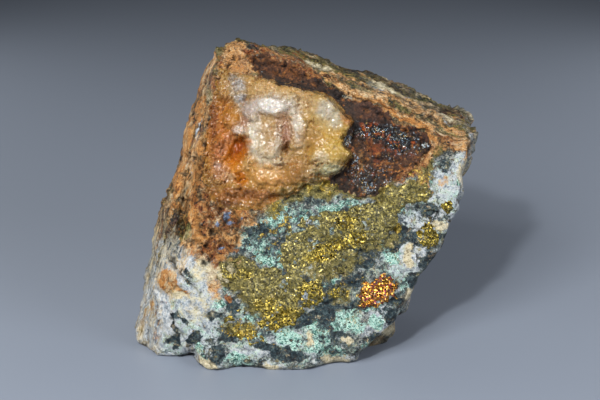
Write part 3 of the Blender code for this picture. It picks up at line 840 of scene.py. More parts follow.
@dataclass(frozen=True)
class HostRockFinish:
    """Broken and weathered ore rock: a mosaic of grains, each mineral with its own colours and gloss.

    To the eye it is matt and speckled, with small bright points where ore shows.
    """

    # widths in mm: of coarse and fine grains, of stains, of streaks in the rind, and of sparkling faces
    coarse_mm: float = 1.4
    fine_mm: float = 0.5
    cloud_mm: float = 2.0
    streak_mm: float = 3.6
    face_mm: float = 0.6
    bump_mm: float = 0.6
    # how wide and how far the grains' edges wander, in mm
    drift_mm: float = 1.5
    drift_reach_mm: float = 2.6
    # the dark colour of the painted shade in recesses and pits, and of pepper and hairline cracks
    shade_and_grime: str = "#17140F"
    ground_roughness: float = 0.75
    # half the usual reflection, because its grains are too rough and dusty to mirror anything
    shine: float = 0.25
    ground: tuple[str, ...] = ("#2A3034", "#565C58", "#7F7F74", "#A09A86", "#5E625C")
    layers: tuple[Layer, ...] = (
        Layer(
            Zone.RIND,
            ("#080605", "#281D12", "#664828", "#221A10", "#7C5C36", "#443C26", "#A2946C", "#664A2A"),
            roughness=0.7, softness=0.25,
        ),
        Layer(
            Zone.PALE,
            ("#828C92", "#9CA5A9", "#B2B7BA", "#C8CBCC", "#BAB9B1", "#A6A296"),
            roughness=0.5, softness=0.2,
        ),
        Layer(
            Zone.GREEN,
            ("#24504A", "#5A8E80", "#9CCAB8", "#D8EAE0", "#74AE9A", "#3C6C64", "#8CA69A"),
            roughness=0.6, softness=0.2,
        ),
        Layer(
            Zone.DARK,
            ("#090C0F", "#182226", "#2C3C42", "#101719", "#54686C", "#202C2C"),
            roughness=0.42, softness=0.12,
        ),
        Layer(
            Zone.OLIVE,
            ("#1E1E14", "#56522E", "#8A7E46", "#3E3C26", "#B0A05E"),
            roughness=0.45, metallic=0.25, softness=0.2,
        ),
        Layer(
            Zone.TAN,
            ("#3A2414", "#96683A", "#CC9C62", "#9A6A3A", "#E6CCA0", "#8A6238"),
            roughness=0.8, softness=0.24,
        ),
        Layer(
            Zone.RUST,
            ("#0E0705", "#4A2412", "#9C582A", "#24120A", "#C08A50", "#5A301A", "#8C502A"),
            roughness=0.55,
        ),
        Layer(Zone.OCHRE, ("#6E4420", "#AC6E36", "#C08C4E", "#8A5628", "#CEA468", "#A0642E"), 0.7),
        Layer(Zone.CLAY, ("#8E8266", "#B8AC8A", "#D8CEB2", "#BFAF84"), roughness=0.7, softness=0.3),
        Layer(Zone.SPECKS, ("#6A5A22", "#A2883A", "#D2BC68"), roughness=0.32, metallic=1.0, softness=0.04),
        Layer(
            Zone.BLUE,
            ("#3A4458", "#7C8EAA", "#56647E", "#AEBACE"),
            roughness=0.35, metallic=0.3, softness=0.12,
        ),
    )

    def material(self) -> Material:
        """Builds the node material.

        Returns:
            The material.
        """
        made, tree, shader = new_material("weathered_ore_rock")
        place = place_in_mm(tree)
        bent = self.bent(tree, place)
        grain = add_node(tree, "Attribute", attribute_name="grain").outputs["Vector"]
        bedded = add_node(tree, "Attribute", attribute_name="bedded").outputs["Fac"]
        coarse = self.parts(tree, "TexVoronoi", {"Vector": bent, "Scale": 1 / self.coarse_mm})
        fine = self.parts(tree, "TexVoronoi", {"Vector": bent, "Scale": 1 / self.fine_mm})
        broad = [
            self.parts(tree, "TexNoise", {"Vector": at, "Scale": 1 / size, **CLOUDS})
            for at, size in ((place, self.cloud_mm), (grain, self.streak_mm))
        ]
        small = [
            self.parts(tree, "TexNoise", {"Vector": at, "Scale": 1 / self.fine_mm, **SPECKS})
            for at in (place, grain)
        ]
        cloud, speck = (
            [
                add_node(tree, "Mix", {0: bedded, 2: even, 3: streaked}).outputs[0]
                for even, streaked in zip(*patterns)
            ]
            for patterns in (broad, small)
        )

        tone = self.tone(tree, cloud[0], speck[0], fine[0])
        colour = add_node(tree, "ValToRGB", {0: tone}, even_stops(self.ground)).outputs[0]
        roughness: Socket | float = self.ground_roughness
        metallic: Socket | float = 0.0
        for index, layer in enumerate(self.layers):
            one, two, three = index % 3, (index + 1) % 3, (index + 2) % 3
            chance = self.mixed(tree, (cloud[one], 0.62), (coarse[two], 0.1), (speck[three], 0.28))
            chance = add_node(tree, "MapRange", spread(chance, 0.15, 0.85)).outputs[0]
            cover = add_node(tree, "Attribute", attribute_name=layer.zone.value).outputs["Fac"]
            level = add_node(tree, "Math", {0: cover, 1: chance}, operation="ADD").outputs[0]
            share = spread(level, 1.0 - layer.softness, 1.0 + layer.softness)
            share = add_node(tree, "MapRange", share).outputs[0]
            tone = self.tone(tree, cloud[two], speck[one], fine[three])
            look = add_node(tree, "ValToRGB", {0: tone}, even_stops(layer.colours)).outputs[0]
            colour = add_node(tree, "MixRGB", {0: share, 1: colour, 2: look}).outputs[0]
            roughness, metallic = (
                add_node(tree, "Mix", {0: share, 2: below, 3: above}).outputs[0]
                for below, above in ((roughness, layer.roughness), (metallic, layer.metallic))
            )

        # painted shade in recesses and pits, with pepper and cracks, darkens the colour
        shade_and_grime = {0: self.dirt_and_shade(tree, speck[2], cloud[1]), 1: colour, 2: linear(self.shade_and_grime)}
        colour = add_node(tree, "MixRGB", shade_and_grime).outputs[0]
        grains = tiny_faces(tree, bent, self.face_mm)
        height = self.mixed(tree, (speck[0], 0.2), (cloud[1], 0.14), (grains, 0.9))
        bump = {"Height": height, "Strength": 0.9, "Distance": self.bump_mm * MM}
        bump = add_node(tree, "Bump", bump).outputs[0]
        looks = {"Base Color": colour, "Metallic": metallic, "Roughness": roughness, "Normal": bump}
        set_inputs(tree, shader, {**looks, "Specular IOR Level": self.shine})
        return made

    def bent(self, tree: NodeTree, place: Socket) -> Socket:
        """Shifts the place by noise, so that grains don't end in straight lines."""
        drift = {"Vector": place, "Scale": 1 / self.drift_mm, "Detail": 3.0}
        drift = {0: add_node(tree, "TexNoise", drift).outputs["Color"], 1: MID_COLOUR}
        drift = {0: add_node(tree, "VectorMath", drift, operation="SUBTRACT").outputs[0]}
        drift["Scale"] = self.drift_reach_mm
        drift = add_node(tree, "VectorMath", drift, operation="SCALE").outputs[0]
        return add_node(tree, "VectorMath", {0: place, 1: drift}).outputs[0]

    def dirt_and_shade(self, tree: NodeTree, speck: Socket, cloud: Socket) -> Socket:
        """Makes the share of darkening: painted shade in recesses and pits, fine pepper, and hairline
        cracks in the worn rind.

        Args:
            tree: the node tree it goes into.
            speck: a fine pattern, whose highest parts are pepper.
            cloud: a broad pattern, one of whose levels is a crack.

        Returns:
            The share, from 0 to 1.
        """
        hollow_shade = add_node(tree, "Attribute", attribute_name="hollow_shade").outputs["Fac"]
        pepper = add_node(tree, "MapRange", spread(speck, 0.76, 0.96, 0.0, 0.55)).outputs[0]
        dirt_and_shade = add_node(tree, "Math", {0: hollow_shade, 1: pepper}, operation="MAXIMUM").outputs[0]
        crack = add_node(tree, "Math", {0: cloud, 1: 0.52}, operation="SUBTRACT").outputs[0]
        crack = add_node(tree, "Math", {0: crack}, operation="ABSOLUTE").outputs[0]
        crack = add_node(tree, "MapRange", spread(crack, 0.0, 0.05, 0.85, 0.0)).outputs[0]
        worn = add_node(tree, "Attribute", attribute_name="worn").outputs["Fac"]
        crack = add_node(tree, "Math", {0: crack, 1: worn}, operation="MULTIPLY").outputs[0]
        return add_node(tree, "Math", {0: dirt_and_shade, 1: crack}, operation="MAXIMUM").outputs[0]

    @staticmethod
    def parts(tree: NodeTree, kind: str, inputs: dict) -> list[Socket]:
        """Adds a texture and gives the three parts of its colour, as three patterns from 0 to 1.

        Args:
            tree: the node tree it goes into.
            kind: the texture's type.
            inputs: its place and sizes.

        Returns:
            The three patterns.
        """
        colour = add_node(tree, kind, inputs).outputs["Color"]
        patterns = list(add_node(tree, "SeparateColor", {0: colour}).outputs)
        if kind == "TexNoise":
            patterns = [add_node(tree, "MapRange", spread(one, 0.3, 0.7)).outputs[0] for one in patterns]
        return patterns

    def tone(self, tree: NodeTree, broad: Socket, small: Socket, tiny: Socket) -> Socket:
        """Mixes three patterns of different sizes into one that reaches from 0 to 1."""
        mixed = self.mixed(tree, (broad, 0.46), (small, 0.36), (tiny, 0.18))
        return add_node(tree, "MapRange", spread(mixed, 0.25, 0.75)).outputs[0]

    @staticmethod
    def mixed(tree: NodeTree, *patterns: tuple[Socket, float]) -> Socket:
        """Adds patterns together, each with its weight."""
        total: Socket | float = 0.0
        for pattern, weight in patterns:
            inputs = {0: pattern, 1: weight, 2: total}
            total = add_node(tree, "Math", inputs, operation="MULTIPLY_ADD").outputs[0]
        return total


@dataclass(frozen=True)
class QuartzFinish:
    """Vein quartz, grown in blocks: milky white to honey and amber with iron stain.

    To the eye it is glassy and lets some light in, so that its edges glow.
    """

    shade: tuple[str, ...] = ("#8E7A5E", "#C4B59E", "#DED7CE", "#B8A88E", "#E8E2DA")
    # the brown of the painted shade in creases and of the rust stain along the foot
    shade_and_grime: str = "#96602A"
    # widths in mm: of clouds in it, and of its small bright faces
    cloud_mm: float = 1.3
    face_mm: float = 0.5
    bump_mm: float = 0.9
    # of its glassiest and its dullest small faces
    roughness: tuple[float, float] = (0.06, 0.4)
    ior: float = 1.54
    clearness: float = 0.12
    # how much light wanders inside, and how far in mm
    milkiness: float = 0.45
    milk_depth_mm: float = 0.6
    milk_tint: tuple[float, float, float] = (1.0, 0.6, 0.3)

    def material(self) -> Material:
        """Builds the node material.

        Returns:
            The material.
        """
        made, tree, shader = new_material("vein_quartz")
        place = place_in_mm(tree)
        cloud = {"Vector": place, "Scale": 1 / self.cloud_mm, "Detail": 6.0, "Roughness": 0.65}
        cloud = add_node(tree, "TexNoise", cloud).outputs[0]
        stain = add_node(tree, "Attribute", attribute_name="stain").outputs["Color"]
        tone = add_node(tree, "MapRange", spread(cloud, 0.3, 0.7)).outputs[0]
        shade = add_node(tree, "ValToRGB", {0: tone}, even_stops(self.shade)).outputs[0]
        colour = {0: 0.75, 1: stain, 2: shade}
        colour = add_node(tree, "MixRGB", colour, blend_type="MULTIPLY").outputs[0]
        # painted shade in creases, and the rust stain along the foot, bring the colour to brown
        crease_shade_and_rust = add_node(tree, "Attribute", attribute_name="crease_shade_and_rust").outputs["Fac"]
        colour = add_node(tree, "MixRGB", {0: crease_shade_and_rust, 1: colour, 2: linear(self.shade_and_grime)}).outputs[0]
        grain = add_node(tree, "TexVoronoi", {"Vector": place, "Scale": 1 / self.face_mm})
        parts = add_node(tree, "SeparateColor", {0: grain.outputs["Color"]}).outputs
        gloss = add_node(tree, "MapRange", spread(parts[0], 0.0, 1.0, *self.roughness))
        clear = add_node(tree, "Attribute", attribute_name="clear").outputs["Fac"]
        coarse = add_node(tree, "MapRange", spread(clear, 0.0, 1.0, 1.0, 0.3))
        height = {0: tiny_faces(tree, place, self.face_mm), 1: coarse.outputs[0]}
        height = add_node(tree, "Math", height, operation="MULTIPLY").outputs[0]
        bump = {"Height": height, "Strength": 1.0, "Distance": self.bump_mm * MM}
        bump = add_node(tree, "Bump", bump).outputs[0]
        looks = {
            "Base Color": colour,
            "Roughness": gloss.outputs[0],
            "Normal": bump,
            "IOR": self.ior,
            "Transmission Weight": self.clearness,
            "Subsurface Weight": self.milkiness,
            "Subsurface Radius": self.milk_tint,
            "Subsurface Scale": self.milk_depth_mm * MM,
        }
        set_inputs(tree, shader, looks)
        return made


@dataclass(frozen=True)
class OreFinish:
    """Granular chalcopyrite, a brassy sulphide broken into grains with dark gaps, whose darkness is painted
    shade.

    To the eye it is olive gold, dull where a grain is turned away and a bright point where it is not.
    """

    name: str = "granular_chalcopyrite"
    grain: tuple[str, ...] = ("#5E5024", "#968236", "#7A6C2C", "#C2AE5A")
    film: tuple[str, ...] = ("#4A4730", "#857B48", "#635D3A", "#A39655")
    # colours of the painted shade in the low gaps between grains
    gap: tuple[str, ...] = ("#15130E", "#34301E", "#4A4A38")
    roughness: float = 0.46
    film_metal: float = 0.55
    # widths in mm: of the grains, and of the patches of film on them
    grain_mm: float = 0.34
    cloud_mm: float = 2.4
    bump_mm: float = 0.9

    def material(self) -> Material:
        """Builds the node material.

        Returns:
            The material.
        """
        made, tree, shader = new_material(self.name)
        place = place_in_mm(tree)
        grain = add_node(tree, "TexVoronoi", {"Vector": place, "Scale": 1 / self.grain_mm})
        cloud = add_node(tree, "TexNoise", {"Vector": place, "Scale": 1 / self.cloud_mm, **CLOUDS})
        parts = add_node(tree, "SeparateColor", {0: grain.outputs["Color"]}).outputs
        bright = add_node(tree, "ValToRGB", {0: parts[0]}, even_stops(self.grain)).outputs[0]
        dull = add_node(tree, "ValToRGB", {0: parts[1]}, even_stops(self.film)).outputs[0]
        gold = add_node(tree, "Attribute", attribute_name="gold").outputs["Fac"]
        level = add_node(tree, "Math", {0: cloud.outputs[0], 1: gold}, operation="ADD").outputs[0]
        share = add_node(tree, "MapRange", spread(level, 0.68, 0.98)).outputs[0]
        colour = add_node(tree, "MixRGB", {0: share, 1: dull, 2: bright}).outputs[0]
        # painted shade in the low gaps between grains, and dark pits in random grains
        hollow_shade = add_node(tree, "Attribute", attribute_name="gap").outputs["Fac"]
        pits = add_node(tree, "MapRange", spread(parts[2], 0.8, 0.86, 0.0, 0.9)).outputs[0]
        hollow_shade = add_node(tree, "Math", {0: hollow_shade, 1: pits}, operation="MAXIMUM").outputs[0]
        dark = add_node(tree, "ValToRGB", {0: parts[1]}, even_stops(self.gap)).outputs[0]
        colour = add_node(tree, "MixRGB", {0: hollow_shade, 1: colour, 2: dark}).outputs[0]
        fresh = add_node(tree, "MapRange", spread(share, 0.0, 1.0, self.film_metal, 1.0)).outputs[0]
        solid = add_node(tree, "Math", {0: 1.0, 1: hollow_shade}, operation="SUBTRACT").outputs[0]
        metallic = add_node(tree, "Math", {0: fresh, 1: solid}, operation="MULTIPLY").outputs[0]
        gloss = spread(parts[0], 0.0, 1.0, self.roughness - 0.32, self.roughness + 0.16)
        gloss = add_node(tree, "MapRange", gloss).outputs[0]
        height = tiny_faces(tree, place, self.grain_mm)
        bump = {"Height": height, "Strength": 0.75, "Distance": self.bump_mm * MM}
        bump = add_node(tree, "Bump", bump).outputs[0]
        looks = {"Base Color": colour, "Metallic": metallic, "Roughness": gloss, "Normal": bump}
        set_inputs(tree, shader, looks)
        return made


@dataclass(frozen=True)
class TarnishedOreFinish(OreFinish):
    """Chalcopyrite whose broken grains have taken a thin film of tarnish.

    To the eye it runs from gold to orange, brown and purple.
    """

    name: str = "tarnished_chalcopyrite"
    grain: tuple[str, ...] = ("#8A4C1E", "#C8923C", "#A8681F", "#E0BC5C", "#863850")
    film: tuple[str, ...] = ("#64342E", "#A08238", "#8A742E", "#523650", "#B49648")
    # colours of the painted shade in the low gaps between grains
    gap: tuple[str, ...] = ("#120A08", "#30180F", "#4A2A1A")
    roughness: float = 0.42


@dataclass(frozen=True)
class GoethiteFinish:
    """Goethite crust, dark brown iron oxide with black glassy skins.

    To the eye it is a rough dark recess, rust-red in places, with small blue-grey glints, and painted shade
    darkens its low spots.
    """

    shade: tuple[str, ...] = ("#2E2A28", "#C0B4AA", "#FFFFFF", "#5C544E", "#FFF0E0")
    glint: tuple[str, ...] = ("#4E5C68", "#9FB6C6", "#E4F0F6", "#C8A860")
    # the near-black of the painted shade in the crust's low spots
    shade_and_grime: str = "#0C0807"
    # widths in mm: of its crumbs, of clouds in it, and of its small bright faces
    grain_mm: float = 0.32
    cloud_mm: float = 1.0
    face_mm: float = 0.5
    bump_mm: float = 0.6

    def material(self) -> Material:
        """Builds the node material.

        Returns:
            The material.
        """
        made, tree, shader = new_material("goethite_crust")
        place = place_in_mm(tree)
        grain = add_node(tree, "TexVoronoi", {"Vector": place, "Scale": 1 / self.grain_mm})
        cloud = {"Vector": place, "Scale": 1 / self.cloud_mm, "Detail": 5.0, "Roughness": 0.7}
        cloud = add_node(tree, "TexNoise", cloud).outputs[0]
        parts = add_node(tree, "SeparateColor", {0: grain.outputs["Color"]}).outputs
        stain = add_node(tree, "Attribute", attribute_name="stain").outputs["Color"]
        tone = add_node(tree, "MapRange", spread(cloud, 0.3, 0.7)).outputs[0]
        tone = add_node(tree, "Mix", {0: 0.35, 2: tone, 3: parts[0]}).outputs[0]
        shade = add_node(tree, "ValToRGB", {0: tone}, even_stops(self.shade)).outputs[0]
        colour = {0: 0.85, 1: stain, 2: shade}
        colour = add_node(tree, "MixRGB", colour, blend_type="MULTIPLY").outputs[0]
        # painted shade darkens the crust's low spots
        hollow_shade = add_node(tree, "Attribute", attribute_name="hollow_shade").outputs["Fac"]
        colour = add_node(tree, "MixRGB", {0: hollow_shade, 1: colour, 2: linear(self.shade_and_grime)}).outputs[0]
        cover = add_node(tree, "Attribute", attribute_name="glint").outputs["Fac"]
        chance = add_node(tree, "Mix", {0: 0.35, 2: parts[1], 3: cloud}).outputs[0]
        level = add_node(tree, "Math", {0: cover, 1: chance}, operation="ADD").outputs[0]
        share = add_node(tree, "MapRange", spread(level, 1.0, 1.1)).outputs[0]
        look = add_node(tree, "ValToRGB", {0: parts[2]}, even_stops(self.glint)).outputs[0]
        colour = add_node(tree, "MixRGB", {0: share, 1: colour, 2: look}).outputs[0]
        height = {0: tiny_faces(tree, place, self.face_mm), 1: tone}
        height = add_node(tree, "Math", height).outputs[0]
        bump = {"Height": height, "Strength": 0.9, "Distance": self.bump_mm * MM}
        bump = add_node(tree, "Bump", bump).outputs[0]
        rough = add_node(tree, "Attribute", attribute_name="rough").outputs["Fac"]
        looks = {"Base Color": colour, "Metallic": share, "Roughness": rough, "Normal": bump}
        set_inputs(tree, shader, looks)
        return made


def finish_piece(
    name: str,
    mesh: Mesh,
    nodes: tuple[str, ...],
    material: Material,
) -> Piece:
    """Puts a finished piece into the scene and hides the solids it stands for.

    Args:
        name: the piece's name.
        mesh: its mesh.
        nodes: the solids it stands for.
        material: its material.

    Returns:
        The piece.
    """
    piece = new_object(name, mesh)
    mesh.materials.append(material)
    mesh.shade_smooth()
    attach(piece, "root")
    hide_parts(*nodes)
    LOG.info("%s: %d faces", name, len(mesh.polygons))
    return piece


# ---- the host rock -----------------------------------------------------------------------------------

# outlines on the front face, across and up in mm
QUARTZ_OUTLINE: tuple[Spot, ...] = (
    (-20.4, 77.4), (-15.5, 76.2), (-9.4, 75.2), (-3.6, 73), (2.2, 72.2), (7.6, 69.4),
    (10.4, 66.4), (14, 64), (12.2, 60.4), (10.8, 58.6), (13, 55.4), (10.8, 51.6),
    (6.6, 49.2), (2, 48), (-1.6, 45.6), (-5, 43.6), (-9.5, 42), (-15, 41),
    (-20, 42), (-23.6, 45), (-24.6, 49.5), (-24.4, 56), (-23.4, 63), (-22.2, 70),
)
GOETHITE_OUTLINE: tuple[Spot, ...] = (
    (-13, 80.4), (-8.8, 81.2), (-4.6, 79.6), (0.6, 77.2), (5, 75), (7.4, 72.6),
    (12, 69.8), (17.4, 69), (21.8, 66.9), (24.6, 62.6), (29, 62.2), (32.8, 60.6),
    (33.4, 57.4), (30.8, 54), (27.2, 51.6), (22.6, 48.8), (18.6, 45.6), (13.2, 45.6),
    (8, 48), (6, 54), (6, 62), (0, 69), (-8, 73), (-11.4, 77),
)
CHALCOPYRITE_OUTLINE: tuple[Spot, ...] = (
    (17.6, 44.2), (21.8, 47), (26.6, 47.4), (32.4, 47.8), (34.6, 45.4), (31, 43),
    (26.6, 42.4), (25.2, 38.2), (22.4, 34.6), (17.6, 32.8), (14.6, 30), (8.6, 28),
    (5.6, 25.4), (6.2, 21), (5.8, 17.4), (1.8, 16), (-1.6, 12.4), (-6.6, 10.4),
    (-10.8, 12.8), (-13, 17.4), (-15.8, 21.6), (-20, 24.4), (-20.6, 27.4),
    (-15, 29.4), (-10, 27.8), (-5.2, 26.2), (-4.6, 31), (-3.8, 35.4), (0.6, 38.8),
    (6.4, 40.6), (12.2, 41.2),
)
BLEB_OUTLINES: dict[str, tuple[Spot, ...]] = {
    "upper_right": ((36.6, 43.6), (38.4, 44.2), (39.7, 42.6), (39, 40.6), (37, 40.4), (35.9, 42)),
    "lower_right": (
        (30.4, 36.6), (32.6, 38), (34.6, 36.2), (35.6, 33), (33.6, 31.2), (31.4, 31.8), (29.8, 33.6),
    ),
    "middle": ((7.8, 21.4), (10.2, 21.8), (11.4, 20.2), (10, 18.6), (8, 18.8), (7.2, 20.2)),
    "left": ((-18, 15), (-15.2, 15.6), (-14.2, 13.6), (-15.8, 12.2), (-18, 12.6), (-19.2, 13.8)),
    "foot": (
        (-15.8, 10.6), (-12.4, 10.8), (-10, 9.2), (-9.4, 7.4), (-12, 6.8), (-14.6, 8), (-16.4, 9.4),
    ),
}
TARNISHED_OUTLINE: tuple[Spot, ...] = (
    (16.4, 22.2), (19.6, 24.4), (22.8, 25.2), (25.2, 22.6), (24.8, 19.2), (21.6, 17.4),
    (17.6, 16), (15, 17.4), (15.2, 20.4),
)


@dataclass
class HostRock:
    """The block of ore rock under everything else, with its weathered rind and broken sides."""

    voxel_mm: float = 1.17
    weld_mm: float = 0.001
    # how far each mineral's solid is grown, so that it joins the rock's without a seam
    seam_mm: float = 0.25
    rounds: int = 3
    # how high the rock under the quartz may reach
    quartz_bed_mm: float = -0.7
    # the front's fine mesh: how squarely its faces look to the front, and how deep it reaches
    fine_facing: float = 0.55
    fine_depth_mm: float = 9.0
    # blocks of grains in the relief: share of their height, mean width in mm and seed of each packing
    front_blocks: tuple[Packing, ...] = ((0.5, 2.6, 31), (0.55, 1.2, 32))
    front_grains: tuple[Packing, ...] = ((0.5, 0.65, 33),)
    rind_blocks: tuple[Packing, ...] = ((0.3, 1.3, 44),)
    rusty_blocks: tuple[Packing, ...] = ((0.8, 2.2, 45), (0.5, 1.0, 46))
    broken_blocks: tuple[Packing, ...] = ((0.6, 8.0, 51), (0.35, 3.0, 52))
    broken_grains: tuple[Packing, ...] = ((0.3, 1.4, 53),)
    # how far swells, shaves, the left edge of the face, and pits stand out or lie back, in mm
    swell_mm: float = 1.4
    shave_mm: float = -1.6
    left_edge_mm: float = 1.2
    pit_mm: float = -1.1
    # the grain of the rind on top and at the left, and how much it is shortened along it
    rind_grain: tuple[tuple[float, float, float], ...] = ((0.93, 0.0, -0.37), (-0.24, -0.26, -0.93))
    rind_stretches: tuple[float, float] = (0.36, 0.2)
    # where the bedded rind begins on the front face: above the first line, left of the second, in mm
    rind_above: tuple[Spot, ...] = (
        (-14, 81.5), (-8.8, 81.8), (0.6, 77.8), (7.4, 73.4), (17.4, 69.6), (24.6, 65), (33, 61),
        (43, 56),
    )
    rind_left: tuple[Spot, ...] = (
        (-36, 10), (-32, 20), (-28, 28), (-26, 32), (-26.4, 46.4), (-24.9, 59), (-23, 72), (-20, 82),
    )
    # where the stained upper part of the front face gives way to fresh ore rock, across and up in mm
    rind_border: tuple[Spot, ...] = (
        (-40, 26), (-25, 28.5), (-20, 26.5), (-12, 38), (-5, 44.5), (5, 47.5), (15, 45.5), (25, 48.5),
        (32, 54.5), (46, 59),
    )
    # where the block stands out a little further
    swells: tuple[Patch, ...] = ((40.5, 42, 4, 6, 0, 1), (-33.6, 23, 2.6, 3, 0, 0.5))
    # where it lies a little further back
    shaves: tuple[Patch, ...] = ((46.6, 56.5, 2.8, 7.5, 8, 1), (48.8, 60, 3.2, 6.5, 0, 1.6))
    # ribs and grooves on the front face: half width and rise in mm, then the line each one follows
    folds: tuple[Line, ...] = (
        (1, 1.2, ((-25.2, 57), (-25.5, 54.9), (-26.6, 48.7), (-27.3, 44.5), (-27.4, 38.4), (-25, 33))),
        (1.1, -1.5, ((-28.8, 55), (-29.4, 47), (-30.4, 40), (-30.4, 35.5))),
        (1.8, 1.1, ((-34.5, 27.4), (-30.5, 23.2), (-26.6, 20), (-24.1, 16.6))),
        (0.8, -0.9, ((-32.7, 28.8), (-30, 25.6), (-27.2, 22.8), (-25, 20.6))),
        (0.7, -0.8, ((-33.3, 13), (-31.6, 10), (-30.3, 7))),
        (0.5, -0.9, ((4, 76.4), (8, 74.9), (11.6, 75.2))),
        (0.6, -0.8, ((28.5, 66.8), (33, 65.4), (39.5, 64.4))),
        (0.8, -0.9, ((-22, 47.4), (-23, 42), (-22.4, 35.4), (-24, 31))),
        (0.8, 0.9, ((-17, 39), (-19.6, 36.4), (-18.4, 32.4))),
    )
    # where the rusty corner and the rind are pitted and cracked
    pits: tuple[Patch, ...] = (
        (-26.9, 54.4, 0.9, 1.5, 0, 1), (-29.2, 43.8, 1.5, 1, 0, 1), (-22.4, 35.3, 1.1, 0.8, 0, 1),
        (-23.8, 28.3, 1.2, 0.6, 20, 1), (-19.2, 38.4, 0.8, 1, 0, 1), (-21.6, 42, 1, 0.6, -20, 0.9),
        (-30.8, 38, 0.7, 3, 8, 0.8), (-24.4, 27.6, 0.9, 0.6, 30, 1), (17.6, 73.2, 1.5, 0.6, -8, 1),
        (33.6, 64.8, 2.2, 0.7, -10, 0.8), (-18.4, 78.7, 0.8, 0.6, 0, 0.8), (-27.2, 33, 1.2, 0.8, 0, 0.8),
        (-28, 5.2, 1.6, 1.4, 20, 0.8), (-25.3, 52.2, 0.6, 5, -7, 0.75), (-30.3, 40.6, 1, 0.9, 0, 1),
        (-25.6, 32.2, 1, 0.6, 20, 0.8), (-20.6, 43.2, 0.7, 0.5, 0, 0.9),
        (-17.4, 36.6, 0.8, 0.5, 20, 0.8), (5, 73.8, 1.2, 0.4, -30, 0.8),
        (24.4, 71.4, 1.6, 0.4, -20, 0.7), (29, 66.6, 1.8, 0.4, -24, 0.7), (-1, 80.6, 1.6, 0.4, -16, 0.7),
    )

    def filled_block(self) -> Mesh:
        """Joins all the solids into one skin.

        Returns:
            The skin's mesh, with even faces and no seams.
        """
        joined = bmesh.new()
        for name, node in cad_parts.items():
            solid = bmesh.new()
            solid.from_mesh(node.data)
            bmesh.ops.remove_doubles(solid, verts=solid.verts, dist=self.weld_mm * MM)
            solid.normal_update()
            if name != "host_rock":
                for vertex in solid.verts:
                    vertex.co += vertex.normal * self.seam_mm * MM
            part = bpy.data.meshes.new(name + "_copy")
            solid.to_mesh(part)
            solid.free()
            joined.from_mesh(part)
            bpy.data.meshes.remove(part)
        mesh = bpy.data.meshes.new("filled_block")
        joined.to_mesh(mesh)
        joined.free()
        helper = new_object("filled_block", mesh)
        remesh = helper.modifiers.new("skin", "REMESH")
        remesh.mode = "VOXEL"
        remesh.voxel_size = self.voxel_mm * MM
        graph = bpy.context.evaluated_depsgraph_get()
        skin = bpy.data.meshes.new_from_object(helper.evaluated_get(graph))
        bpy.data.objects.remove(helper)
        return skin

    @staticmethod
    def keep_outer_shell(mesh: Mesh) -> None:
        """Drops every shell but the largest, so that no closed bubble is left inside.

        Args:
            mesh: the mesh that it cleans.
        """
        block = bmesh.new()
        block.from_mesh(mesh)
        left = set(block.verts)
        shells: list[set[bmesh.types.BMVert]] = []
        while left:
            shell = {left.pop()}
            edge = list(shell)
            while edge:
                for link in edge.pop().link_edges:
                    for vertex in link.verts:
                        if vertex in left:
                            left.discard(vertex)
                            shell.add(vertex)
                            edge.append(vertex)
            shells.append(shell)
        shells.sort(key=len)
        for shell in shells[:-1]:
            bmesh.ops.delete(block, geom=list(shell), context="VERTS")
        block.to_mesh(mesh)
        block.free()

    def refine(self, mesh: Mesh) -> None:
        """Halves the faces that show from the front or lie on the rind, and halves the front's again.

        Args:
            mesh: the mesh that it makes finer.
        """
        for level in range(2):
            block = bmesh.new()
            block.from_mesh(mesh)
            centres = np.array([face.calc_center_median() for face in block.faces]) / MM
            normals = np.array([face.normal for face in block.faces])
            places = FACE.to_face(centres)
            front = (normals @ FACE.axes()[2] > self.fine_facing) & (places[:, 2] > -self.fine_depth_mm)
            covered = inside_distance(places, QUARTZ_OUTLINE) > 1.5
            covered |= inside_distance(places, CHALCOPYRITE_OUTLINE) > 3.0
            covered |= (inside_distance(places, GOETHITE_OUTLINE) > 1.5) & (places[:, 2] < -1.0)
            rind = (normals[:, 2] > 0.3) | (normals[:, 0] < -0.3)
            chosen = front & ~covered
            if level == 0:
                chosen |= rind & ~covered
            faces = [face for face, pick in zip(block.faces, chosen) if pick]
            edges = list({edge for face in faces for edge in face.edges})
            bmesh.ops.subdivide_edges(block, edges=edges, cuts=1, use_grid_fill=True)
            block.to_mesh(mesh)
            block.free()

    def relief(self, points: Array, normals: Array) -> Array:
        """Works out how far the weathered surface stands out at each place.

        Args:
            points: places on the smooth block in mm.
            normals: its normals there.

        Returns:
            Heights in mm.
        """
        places = FACE.to_face(points)
        front, top, left, broken = self.sides(places, normals)
        height = 0.4 * fractal(points, 6.5, 11) + 0.2 * fractal(points, 2.3, 12, 2)
        # grains and blocks on the front face, calmer where the rock is pale and sound
        bent = warped(points, 0.5, 2.0, 21)
        rough = front * (1.0 - 0.45 * patch_cover(places, CLEAN_PALE))
        height += where_shown(rough, bent, lambda at: packed_blocks(at, self.front_blocks))
        height += where_shown(rough, bent, lambda at: packed_blocks(at, self.front_grains))
        # ledges, ribs and grains along the rind's foliation
        for share, stretched in zip((0.85 * top, 0.65 * left), self.foliation(points)):
            height += where_shown(share, stretched, lambda at: terraces(2.4 * fractal(at, 3.2, 42), 0.7))
            height += where_shown(share, stretched, lambda at: 0.25 * ridges(at, 1.0, 43))
            height += where_shown(share, bent, lambda at: packed_blocks(at, self.rind_blocks))
        border = np.interp(places[:, 0], *zip(*self.rind_border))
        rusty = front * smooth(-1.0, 2.0, places[:, 1] - border)
        height += where_shown(rusty, bent, lambda at: packed_blocks(at, self.rusty_blocks))
